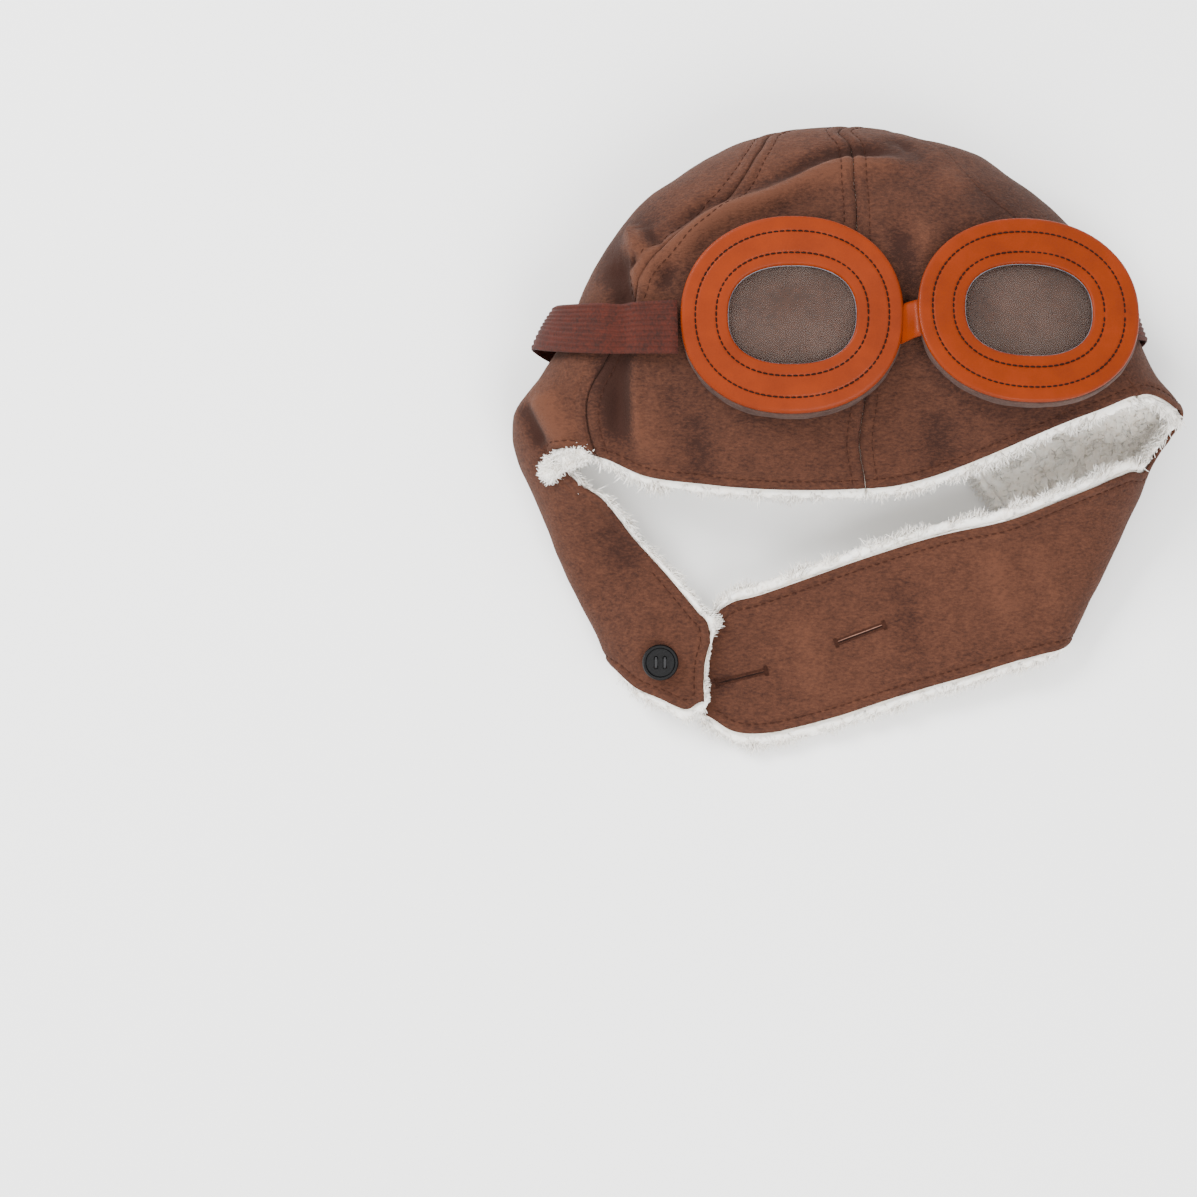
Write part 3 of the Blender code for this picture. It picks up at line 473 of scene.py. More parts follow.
# The cut edge of the vinyl, which gathers the light into a cool grey line.
PANE_EDGE = Finish(
    "vinyl_edge", "#50545C", "#7B8089", Layer(0.004), Layer(0.010), Layer(0.020, 1.0),
    roughness=0.25, bump=0.0001, ior=1.52, alpha=0.75,
)
# Knitted elastic in brown yarn: thread by thread 0.8 mm apart, drawn as a fine streak across the ribs.
ELASTIC = Finish(
    "ribbed_elastic", "#200600", "#431305",
    Layer(0.0008, 2.0, 0.5, (1.0, 0.6, 1.0)), Layer(0.004), Layer(0.020, 1.0),
    roughness=0.85, ior=1.35, shares=(0.5, 0.3, 0.2),
)
# Polyester sewing thread, dark brown and twisted.
THREAD_GRAIN = (Layer(0.0005), Layer(0.002), Layer(0.010, 1.0))
BROWN_THREAD = Finish(
    "dark_brown_thread", "#0E0402", "#22100A", *THREAD_GRAIN, ior=1.2, roughness=0.8, bump=0.0001
)
# Polyester thread of the seams and the buttonholes, nearly the suede's own brown.
SUEDE_THREAD = replace(BROWN_THREAD, name="suede_brown_thread", dark="#220F09", light="#3C2218")
# The pale knitted backing of the suede, which shows at the cut lips of a buttonhole.
CUT_EDGE = Finish("suede_backing", "#5C3A2E", "#85604F", *THREAD_GRAIN, roughness=0.9, bump=0.0001)
# Moulded polyester resin, black, with a satin face.
BUTTON_RESIN = Finish(
    "black_button_resin", "#030304", "#0B0B0C", Layer(0.0008), Layer(0.003), Layer(0.008, 1.0),
    roughness=0.38, bump=0.00006, ior=1.22,
)
# Polyester sewing thread, black.
BLACK_THREAD = Finish(
    "black_sewing_thread", "#050506", "#1B1B1E", Layer(0.0004), *THREAD_GRAIN[1:], roughness=0.8, bump=0.0001
)


@dataclass
class HatForm:
    """The hollow form of the hat, the same as the frame's, with the finer creases of the cloth."""

    half_width: float = 0.1305
    length: float = 0.235
    depth: float = 0.072
    rear_fuller: float = 1.6
    crown_top: Array = field(default_factory=lambda: np.array((0.0, -0.15)))
    seam_start: float = 0.008
    seam_gap: float = 0.0001
    fold_end: float = 0.15
    crease_points: int = 24
    # The left flap is raised by the strap's suede, gap and fleece and by two gaps, from these shares on
    lift: float = 0.0012 + 0.0006 + 0.0035 + 2 * 0.0003
    lift_across: float = -0.76
    lift_down: float = 0.70
    clearance: float = 0.0002
    # The grid of a panel: points by which it is found, how much a bend draws points, distances from a
    # side at which points round it, and shares of the last row at which rows round the hem
    fine: int = 300
    bend_weight: float = 0.014
    beside: tuple[float, ...] = (0.00012, 0.0003, 0.0006, 0.0010)
    near_hem: tuple[float, ...] = (0.35, 0.65, 0.85, 0.95)
    shift: Array = field(default_factory=lambda: np.zeros(3))
    # The goggles press the cloth flat: middle across and down, lean across and up, of each
    goggles: dict[Which, tuple[float, float, float, float]] = field(
        default_factory=lambda: {
            Which.LEFT: (-0.177, 0.354, 0.03, 0.18),
            Which.RIGHT: (0.515, 0.346, -0.17, -0.16),
        }
    )
    goggle_width: float = 0.0852
    goggle_height: float = 0.0740
    # They press it out to this share of their half size, and it is free a further share away
    pressed: float = 0.95
    press_fade: float = 0.25

    def find_shift(self) -> None:
        """Sets how far the frame stands from the form's own origin, from where the left goggle is."""
        low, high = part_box("goggle_frame_left")
        middle = np.array(((low.x + high.x) / 2, (low.y + high.y) / 2))
        self.shift = np.append(middle - self.plan(*self.goggles[Which.LEFT][:2]), 0.0)

    def section_at(self, reach: Array) -> Array:
        """The columns of SECTIONS after down, where the disc's radius is reach."""
        table = np.array(SECTIONS)
        return np.moveaxis(smooth(np.sqrt(table[:, 0]), table[:, 1:], reach), -1, 0)

    def plan(self, across: float, down: float) -> Array:
        """The plan point of a place given as shares across and down."""
        return np.array((across * self.half_width, (1 - down) * self.length))

    def shares(self, points: Array) -> tuple[Array, Array]:
        """The shares across and down of points."""
        return points[..., 0] / self.half_width, 1 - points[..., 1] / self.length

    def cosine_at(self, reach: Array, across: Array | float) -> Array:
        """The cosine of the disc's direction in which the section at this radius is this share across."""
        left, right = self.section_at(reach)[:2]
        return np.clip((2 * across - (right - left)) / (right + left), -1, 1)

    def disc_place(self, side: int, across: float, down: float) -> Array:
        """The disc point of a place on the front (1) or rear (-1), given as shares across and down."""
        reach = math.sqrt(down)
        cosine = float(self.cosine_at(np.array(reach), across))
        return reach * np.array((cosine, side * math.sqrt(1 - cosine**2)))

    def plain(self, disc: Array) -> Array:
        """Points of the outer surface before folds, for points of the disc."""
        reach = np.maximum(np.hypot(disc[..., 0], disc[..., 1]), 1e-6)
        cosine = disc[..., 0] / reach
        left, right, side, front, rear, fullness = self.section_at(reach)
        facing = disc[..., 1] >= 0
        power = np.where(facing, fullness, self.rear_fuller * fullness)
        rise = np.sqrt(np.maximum(1 - np.abs(cosine) ** power, 0))
        height = side + (np.where(facing, front, rear) - side) * rise
        return np.stack(
            (
                ((right - left) + (right + left) * cosine) / 2 * self.half_width,
                (1 - reach**2) * self.length,
                np.maximum(height * self.depth, 0),
            ),
            axis=-1,
        )

    def outward(self, disc: Array) -> Array:
        """Unit normals of the plain form, out of the hat."""
        step = 0.002
        along_p = self.plain(disc + (step, 0)) - self.plain(disc - (step, 0))
        along_q = self.plain(disc + (0, step)) - self.plain(disc - (0, step))
        return unit(np.cross(along_q, along_p))

    def goggle_shade(self, points: Array) -> Array:
        """Nought under the goggles, which press the cloth flat, and one away from them."""
        x, y = points[..., 0], points[..., 1]
        clear = np.ones_like(x)
        for across, down, *_ in self.goggles.values():
            middle = self.plan(across, down)
            dx = (x - middle[0]) / (self.goggle_width / 2)
            dy = (y - middle[1]) / (self.goggle_height / 2)
            clear = clear * smoothstep((np.sqrt(dx**2 + dy**2) - self.pressed) / self.press_fade)
        return clear

    def folds(self, points: Array) -> Array:
        """How far the broad folds push the front out."""
        x, y = points[..., 0], points[..., 1]
        total = np.zeros_like(x)
        for across0, down0, across1, down1, width, bow, height in FOLDS:
            start = self.plan(across0, down0)
            run = self.plan(across1, down1) - start
            size = math.hypot(*run)
            along = ((x - start[0]) * run[0] + (y - start[1]) * run[1]) / size**2
            off = ((y - start[1]) * run[0] - (x - start[0]) * run[1]) / size
            off = off - 4 * bow * self.half_width * along * (1 - along)
            ends = smoothstep((along + self.fold_end) / (2 * self.fold_end))
            ends = ends * smoothstep((1 + self.fold_end - along) / (2 * self.fold_end))
            total += height * self.depth * ends * ridge(off, width * self.half_width)
        return total

    def creases(self, points: Array) -> Array:
        """How far the sharp creases push the front out."""
        x, y = points[..., 0], points[..., 1]
        total = np.zeros_like(x)
        for width, height, places in CREASES:
            line = along_edge([self.plan(*place) for place in places], self.crease_points)
            best = np.full(x.shape, 1e9)
            strength = np.zeros_like(x)
            for k, (a, b) in enumerate(zip(line, line[1:])):
                run = b - a
                t = np.clip(((x - a[0]) * run[0] + (y - a[1]) * run[1]) / (run @ run), 0, 1)
                gap = np.hypot(x - a[0] - t * run[0], y - a[1] - t * run[1])
                share = (k + t) / (len(line) - 1)
                nearer = gap < best
                best = np.where(nearer, gap, best)
                strength = np.where(nearer, smoothstep(share / 0.2) * smoothstep((1 - share) / 0.2), strength)
            total += height * (0.25 + 0.75 * strength) * ridge(best, width)
        return total

    def push(self, disc: Array, points: Array, fine: bool) -> Array:
        """How far folds push the cloth out, with or without the sharp creases."""
        total = self.folds(points)
        if fine:
            total = total + self.creases(points)
        reach = np.hypot(disc[..., 0], disc[..., 1])
        facing = smoothstep(disc[..., 1] / np.maximum(reach, 1e-6) / 0.5)
        return total * facing * self.goggle_shade(points)

    def left_lift(self, disc: Array, points: Array) -> Array:
        """How far the end of the left flap is raised, to lie on the strap."""
        across, down = self.shares(points)
        ramp = smoothstep((across - self.lift_across) / 0.19) * smoothstep((down - self.lift_down) / 0.10)
        return self.lift * ramp * (disc[..., 1] > 0)

    def cloth(
        self, disc: Array, depth: Array | float = 0.0, lifted: bool = False, fine: bool = False
    ) -> Array:
        """Points of the folded cloth, this deep below its outer surface, in the frame's place."""
        points = self.plain(disc)
        out = self.push(disc, points, fine) - depth
        if lifted:
            out = out + self.left_lift(disc, points)
        placed = points + self.outward(disc) * out[..., None] + self.shift
        keep_above(placed, self.clearance)
        return placed

    def to_polar(self, disc: Array) -> Array:
        """Angle and distance of disc points about the point where the crown seams meet."""
        off = disc - self.crown_top
        return np.stack((np.arctan2(off[..., 1], off[..., 0]), np.hypot(off[..., 0], off[..., 1])), axis=-1)

    def from_polar(self, polar: Array) -> Array:
        """Disc points of angles and distances about the point where the crown seams meet."""
        angle, distance = polar[..., 0], polar[..., 1]
        return self.crown_top + np.stack((distance * np.cos(angle), distance * np.sin(angle)), axis=-1)

    def seam(self, places: Iterable[Place], count: int) -> Array:
        """A crown seam from the top of the crown through these places."""
        return along_edge([self.crown_top] + [self.disc_place(*p) for p in places], count, self.seam_start)

    def flap_borders(
        self, face: Iterable[Place], nape: Iterable[Place], stretches: Iterable, finer: int, rows: int
    ) -> tuple[Array, Array]:
        """The two border curves of a side panel with its flap.

        Args:
            face: The seam towards the face.
            nape: The seam towards the nape.
            stretches: The flap's stretches.
            finer: Rows here for each row of the frame.
            rows: Rows of the crown part.

        Returns:
            The face border and the nape border, row by row.
        """
        borders = []
        for edge, crown_seam in enumerate((face, nape)):
            places, ends = [], []
            for stretch in stretches:
                places += [self.disc_place(*p) for p in stretch[edge]]
                ends.append(len(places) - 1)
            keys = travelled(places)
            curves, start = [self.seam(crown_seam, rows)], 0
            for end, stretch in zip(ends, stretches):
                wanted = np.linspace(keys[start], keys[end], stretch[2] * finer + 1)[1:]
                curves.append(smooth(keys, places, wanted))
                start = end
            borders.append(np.concatenate(curves))
        return borders[0], borders[1]

    def region(
        self, first: Array, second: Array, columns: int, hem: Iterable[Place] | None, straight: bool
    ) -> Array:
        """A fine grid of disc points between two borders, closer at folds and at its own edges.

        Args:
            first: One border, row by row.
            second: The other border.
            columns: Points in a row before those that round the edges.
            hem: The edge that the last row follows, or None.
            straight: Whether rows run straight across the disc instead of bending round the crown.

        Returns:
            The grid, rows by columns by two.
        """
        a, b = self.to_polar(first), self.to_polar(second)
        b[:, 0] = a[:, 0] + (b[:, 0] - a[:, 0] + math.pi) % (2 * math.pi) - math.pi
        share = np.linspace(0, 1, self.fine)[None, :, None]
        polar = a[:, None] * (1 - share) + b[:, None] * share
        if straight:
            polar = self.to_polar(first[:, None] * (1 - share) + second[:, None] * share)
        if hem is not None:
            edge = self.to_polar(along_edge([self.disc_place(*p) for p in hem], self.fine))
            order = np.argsort(edge[:, 0])
            wanted = np.interp(polar[-1, :, 0], edge[order, 0], edge[order, 1])
            weight = (polar[:, :, 1] / polar[-1, :, 1]) ** 3
            polar[..., 1] += weight * (wanted - polar[-1, :, 1])
        fine = self.from_polar(polar)
        beside = np.array(self.beside)
        grid = np.empty((len(fine), columns + 2 * len(beside), 2))
        for index, (points, normals) in enumerate(zip(self.cloth(fine), self.outward(fine))):
            steps = np.linalg.norm(np.diff(points, axis=0), axis=1)
            lengths = running(steps)
            whole = lengths[-1]
            trim = min(self.seam_gap / 2, whole / 4)
            near = beside * min(1.0, whole / 0.010)
            effort = running(steps + self.bend_weight * np.linalg.norm(np.diff(normals, axis=0), axis=1))
            inside = (trim + near[-1] * 1.5, whole - trim - near[-1] * 1.5)
            ends = np.interp(inside, lengths, effort)
            middle = np.interp(np.linspace(*ends, columns - 2), effort, lengths)
            at = np.concatenate(((trim,), trim + near, middle, whole - trim - near[::-1], (whole - trim,)))
            grid[index] = np.stack([np.interp(at, lengths, fine[index, :, k]) for k in (0, 1)], axis=-1)
        extra = [grid[-2] + (grid[-1] - grid[-2]) * f for f in self.near_hem]
        return np.concatenate((grid[:-1], np.array(extra), grid[-1:]))


def grid_faces(rows: int, columns: int, wrap: bool = False) -> list[tuple[int, int, int, int]]:
    """The quads of a grid of vertices, wrapped round its columns if asked."""
    last = columns if wrap else columns - 1
    return [
        (
            r * columns + c,
            r * columns + (c + 1) % columns,
            (r + 1) * columns + (c + 1) % columns,
            (r + 1) * columns + c,
        )
        for r in range(rows - 1)
        for c in range(last)
    ]


def capped_faces(rows: int, around: int) -> list:
    """The faces of a skin of rings with a cap at each end."""
    caps = [tuple(range(around))[::-1], tuple((rows - 1) * around + s for s in range(around))]
    return grid_faces(rows, around, True) + caps


def looped_faces(rows: int, around: int) -> list:
    """The faces of a skin of rings whose last ring joins its first."""
    last = (rows - 1) * around
    joint = [(last + s, last + (s + 1) % around, (s + 1) % around, s) for s in range(around)]
    return grid_faces(rows, around, True) + joint


def shell(outer: Array, inner: Array) -> tuple[Array, list]:
    """The vertices and faces of a closed shell between two layers of one grid."""
    rows, columns = outer.shape[:2]
    size = rows * columns
    faces = grid_faces(rows, columns)
    faces += [tuple(size + i for i in face[::-1]) for face in faces]
    rim = list(range(columns)) + [r * columns + columns - 1 for r in range(1, rows)]
    rim += [(rows - 1) * columns + c for c in range(columns - 2, -1, -1)]
    rim += [r * columns for r in range(rows - 2, 0, -1)]
    faces += [(b, a, a + size, b + size) for a, b in zip(rim, rim[1:] + rim[:1])]
    return np.concatenate((outer, inner)), faces


def add_piece(
    name: str,
    points: Array | Sequence,
    faces: Sequence,
    finish: Finish,
    slot: Slot | None = None,
    nodes: Sequence[str] = (),
    tone: Array | None = None,
) -> bpy.types.Object:
    """Adds a piece that rides on the root body.

    Args:
        name: The piece's name.
        points: Its vertices.
        faces: Its faces, as vertex numbers.
        finish: Its finish.
        slot: The record's slot of its finish; not used.
        nodes: The frame's nodes that it replaces.
        tone: How light the finish is painted at each vertex, as painted light and shade, from nought to one.

    Returns:
        The object.
    """
    mesh = bpy.data.meshes.new(name)
    mesh.from_pydata(np.asarray(points).reshape(-1, 3).tolist(), [], list(faces))
    if tone is not None:
        mesh.attributes.new("tone", "FLOAT", "POINT").data.foreach_set("value", tone)
    mesh.shade_smooth()
    mesh.materials.append(finish.build())
    made = bpy.data.objects.new(name, mesh)
    bpy.context.scene.collection.objects.link(made)
    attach(made, "root")
    if nodes:
        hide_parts(*nodes)
    LOG.info("%s: %d vertices, %d faces", name, len(mesh.vertices), len(mesh.polygons))
    return made


def tube_mesh(paths: Array, radii: Array, sides: int, first: Array) -> tuple[Array, list]:
    """Closed tubes along many short paths of the same number of points.

    Args:
        paths: Paths by points by three.
        radii: Paths by points.
        sides: Sides of each tube.
        first: A direction across each path.

    Returns:
        The vertices and the faces.
    """
    count, length = paths.shape[:2]
    run = unit(np.gradient(paths, axis=1))
    u = unit(first[:, None] - (first[:, None] * run).sum(-1, keepdims=True) * run)
    v = np.cross(run, u)
    angles = np.linspace(0, 2 * math.pi, sides, endpoint=False)
    ring = u[:, :, None] * np.cos(angles)[:, None] + v[:, :, None] * np.sin(angles)[:, None]
    points = paths[:, :, None] + ring * radii[:, :, None, None]
    one = capped_faces(length, sides)
    size = length * sides
    faces = [tuple(i + k * size for i in face) for k in range(count) for face in one]
    return points.reshape(-1, 3), faces


# A row that walks this many times the distance wanted before it is that far in runs along the edge.
ROW_ALONG_EDGE = 1.9


@dataclass
class Panel:
    """One suede panel with its fleece, between two borders of the disc."""

    name: str
    lining: str
    form: HatForm
    first: Array
    second: Array
    columns: int
    hem: Iterable[Place] | None = None
    straight: bool = False
    lifted: bool = False
    seam_rows: int | None = None
    quiet: tuple[bool, bool] = (False, False)
    end_pile: float = 1.0
    quiet_seam: float = 0.12
    suede: float = 0.0012
    fleece_gap: float = 0.0006
    fleece: float = 0.0035
    hem_stitch: float = 0.0037
    seam_stitch: float = 0.0048
    # The suede's tone, which is painted light and shade: lighter per metre that a crease rises, the share of
    # that for a broad fold, and how much painted shadow under the goggles and how much darker in a seam
    lighter: float = 230.0
    fold_share: float = 0.45
    shaded: float = 0.22
    seam_darker: float = 0.12

    def __post_init__(self) -> None:
        """Works out the grid, its surface and the distances to its edges."""
        self.grid = self.form.region(self.first, self.second, self.columns, self.hem, self.straight)
        self.base = self.form.cloth(self.grid, 0.0, self.lifted, True)
        self.normal = self.form.outward(self.grid)
        rows = len(self.grid) if self.seam_rows is None else self.seam_rows
        seams = np.concatenate((self.base[:rows, 0], self.base[:rows, -1]))
        hems = self.base[-1]
        if rows < len(self.grid):
            hems = np.concatenate((self.base[rows - 1 :, 0], self.base[rows - 1 :, -1], hems))
        self.to_seam = self.distance(seams)
        self.to_hem = self.distance(hems)
        columns = self.grid.shape[1]
        halves = (np.arange(columns) < columns / 2, np.arange(columns) >= columns / 2)
        self.sewn = np.ones(columns)
        for half, quiet in zip(halves, self.quiet):
            self.sewn[half & quiet] = self.quiet_seam

    def distance(self, border: Array) -> Array:
        """How far each point of the grid lies from the points of a border."""
        tree = KDTree(len(border))
        for i, p in enumerate(border.tolist()):
            tree.insert(p, i)
        tree.balance()
        flat = self.base.reshape(-1, 3).tolist()
        return np.array([tree.find(p)[2] for p in flat]).reshape(self.base.shape[:2])

    @staticmethod
    def waves(points: Array) -> Array:
        """The soft waves of the suede, away from its edges."""
        return lumps_at(points, SUEDE_WAVES)

    def relief(self) -> Array:
        """How far hems, seams, rows of stitches and soft waves push the suede out."""
        shade = self.form.goggle_shade(self.base - self.form.shift)
        pucker = noise_at(self.base, 0.0035, 2.0)
        waves = self.waves(self.base)
        seam, hem = self.to_seam, self.to_hem
        push = waves * (0.25 + 0.75 * shade) * smoothstep(np.minimum(seam, hem) / 0.004)
        ridges = (
            # gap from the edge, its middle and its width, then the height alone and with the thread's pucker
            (seam, 0.0, 0.0010, -0.00060, 0.0),
            (seam, self.seam_stitch, 0.0007, -0.00028, -0.0002),
            (seam, 0.0026, 0.0012, 0.00025, 0.0),
            (hem, self.hem_stitch, 0.0008, -0.00040, -0.0002),
            (hem, 0.0019, 0.0010, 0.00035, 0.0002),
        )
        for gap, middle, width, height, puckered in ridges:
            sewn = self.sewn if gap is seam else 1.0
            push += sewn * (height + puckered * pucker) * ridge(gap - middle, width)
        return push

    def build_suede(self) -> bpy.types.Object:
        """The suede: a shell with rounded edges, over both faces of the panel."""
        edge = np.minimum(self.to_seam / self.sewn, self.to_hem)
        half = self.suede / 2
        rounding = half - np.sqrt(np.maximum(half**2 - np.maximum(half - edge, 0) ** 2, 0))
        push = self.relief()
        outer = self.base + self.normal * (push - rounding)[..., None]
        inner = self.base + self.normal * (np.minimum(push, 0) * 0.5 - self.suede + rounding)[..., None]
        keep_above(outer, self.form.clearance)
        keep_above(inner, self.form.clearance)
        plain = self.form.plain(self.grid)
        # Painted light and shade: the colour is made lighter where creases and folds rise and darker where
        # they sink
        relief = self.form.creases(plain) + self.fold_share * self.form.folds(plain)
        front, free = smoothstep(self.grid[..., 1] * 6), self.form.goggle_shade(plain)
        facing = front * free
        tone = np.clip(0.5 + relief * facing * self.lighter, -0.1, 1)
        # Painted shadow under and round the goggles
        tone -= self.shaded * front * (1 - free)
        tone -= self.seam_darker * self.sewn * ridge(self.to_seam, 0.0010)
        x, y = self.form.shares(plain)
        # Patches of painted shade and painted light
        for across, down, reach, lighter in PAINTED_SHADING_PATCHES:
            gap = np.hypot(x - across, (y - down) * self.form.length / self.form.half_width)
            tone += lighter * facing * ridge(gap, reach)
        tone = np.concatenate((tone.ravel(), tone.ravel()))
        return add_piece("suede_" + self.name, *shell(outer, inner), SUEDE, Slot.SUEDE, [self.name], tone)

    def build_fleece(self) -> bpy.types.Object:
        """The fleece behind the suede, lumpy with curls on the inside of the hat."""
        top = self.suede + self.fleece_gap
        seam = smoothstep(self.to_seam / 0.003)
        hem = smoothstep((self.to_hem + 0.0008) / 0.0030)
        thick = self.fleece * (0.35 + 0.65 * seam) * (0.5 + 0.5 * hem)
        curls = lumps_at(self.base, FLEECE_CURLS)
        outer = self.form.cloth(self.grid, top, self.lifted, True)
        inner = self.form.cloth(self.grid, top + thick + curls * hem, self.lifted, True)
        kept = self.fleece_rows()
        name = "fleece_" + self.lining
        return add_piece(name, *shell(outer[kept], inner[kept]), SHERPA, Slot.FLEECE, [self.lining])

    def fleece_rows(self) -> Array:
        """The rows of the grid, but on the flap only every other one until near the hem."""
        rows = np.arange(len(self.grid))
        flap = len(rows) if self.seam_rows is None else self.seam_rows
        return rows[(rows < flap + 2) | (rows % 2 == 0) | (rows > len(rows) - 8)]

    def stitch_lines(self) -> list[tuple[Array, Array]]:
        """The rows of stitches: points and normals along each seam and hem, set in from the edge."""
        lines = []
        rows = len(self.grid) if self.seam_rows is None else self.seam_rows
        spans = [(slice(4, rows), self.to_seam, self.seam_stitch)]
        if rows < len(self.grid):
            spans.append((slice(rows, None), self.to_hem, self.hem_stitch))
        surface = self.base + self.normal * self.relief()[..., None]
        for span, field_, offset in spans:
            for flip in (False, True):
                if field_ is self.to_seam and self.quiet[flip]:
                    continue
                turned = slice(None, None, -1 if flip else None)
                parts = (part[span, turned] for part in (field_, surface, self.normal))
                lines += self.crossing(*parts, offset)
        columns = (surface[::-1].transpose(1, 0, 2), self.normal[::-1].transpose(1, 0, 2))
        lines += self.crossing(self.to_hem[::-1].T, *columns, self.hem_stitch)
        return lines

    @staticmethod
    def crossing(gap: Array, place: Array, facing: Array, offset: float) -> list[tuple[Array, Array]]:
        """Where each row, walked in from the edge, is first this far from it.

        Args:
            gap: Distances from the edge, row by row.
            place: Points of the surface.
            facing: Its normals.
            offset: The distance wanted.

        Returns:
            Points and normals of each unbroken line; a row that runs along the edge breaks it.
        """
        lines, points, normals = [], [], []
        for g, p, n in zip(gap, place, facing):
            over = np.nonzero(g >= offset)[0]
            k = over[0] if len(over) else 0
            walked = np.linalg.norm(np.diff(p[: k + 1], axis=0), axis=1).sum()
            if k == 0 or walked > ROW_ALONG_EDGE * offset:
                lines.append((points, normals))
                points, normals = [], []
                continue
            t = (offset - g[k - 1]) / max(g[k] - g[k - 1], 1e-9)
            points.append(p[k - 1] + t * (p[k] - p[k - 1]))
            normals.append(n[k])
        lines.append((points, normals))
        return [(np.array(p), np.array(n)) for p, n in lines if len(p) > 4]

    def hem_path(self) -> Edge:
        """The free edge of the fleece: points, ways out of the panel, normals, and how full it is."""
        depth = self.suede + self.fleece_gap + self.fleece * 0.45
        mid = self.form.cloth(self.grid, depth, self.lifted, True)
        away_row = unit(mid[-1] - mid[-6])
        parts = [(mid[-1], away_row, self.normal[-1], np.ones(len(away_row)) * self.end_pile)]
        if self.seam_rows is not None:
            rows = slice(self.seam_rows - 1, None)
            for edge, inward in ((0, 6), (-1, -7)):
                away = unit(mid[rows, edge] - mid[rows, inward])
                parts.append((mid[rows, edge], away, self.normal[rows, edge], np.ones(len(away))))
            last, face, nape = parts
            parts = [face, last, tuple(part[::-1] for part in nape)]
        return tuple(np.concatenate(part) for part in zip(*parts))


# A stitch from end to end: share of its length, rise and size as shares of half its thickness.
STITCH_SHAPE = ((0.0, -0.9, 0.55), (0.22, 0.6, 0.95), (0.5, 1.0, 1.0), (0.78, 0.6, 0.95), (1.0, -0.9, 0.55))


@dataclass
class Stitching:
    """Rows of thread: each stitch is a short plump dash lying in the cloth."""

    length: float = 0.0022
    gap: float = 0.0009
    thickness: float = 0.00036
    proud: float = 0.00002

    def stitches(self, points: Array, normals: Array) -> tuple[Array, Array, Array]:
        """The paths, radii and side directions of the stitches along one line."""
        at = travelled(points)
        starts = np.arange(0, at[-1] - self.length, self.length + self.gap)
        shares, rises, sizes = np.array(STITCH_SHAPE).T
        paths, facing = read_along(starts[:, None] + shares * self.length, at, points, normals)
        facing = unit(facing)
        paths = paths + facing * (self.proud + rises * self.thickness / 2)[None, :, None]
        keep_above(paths, self.thickness * 0.6)
        return paths, np.tile(sizes * self.thickness / 2, (len(paths), 1)), facing[:, 2]

    def build(self, name: str, lines: Iterable, finish: Finish, slot: Slot) -> bpy.types.Object:
        """All the stitches along these lines of points and normals, as one piece."""
        made = [self.stitches(p, n) for p, n in lines if len(p) > 3]
        paths, radii, sides = (np.concatenate(parts) for parts in zip(*made))
        across = np.cross(unit(paths[:, -1] - paths[:, 0]), sides)
        return add_piece(name, *tube_mesh(paths, radii, 6, across), finish, slot)


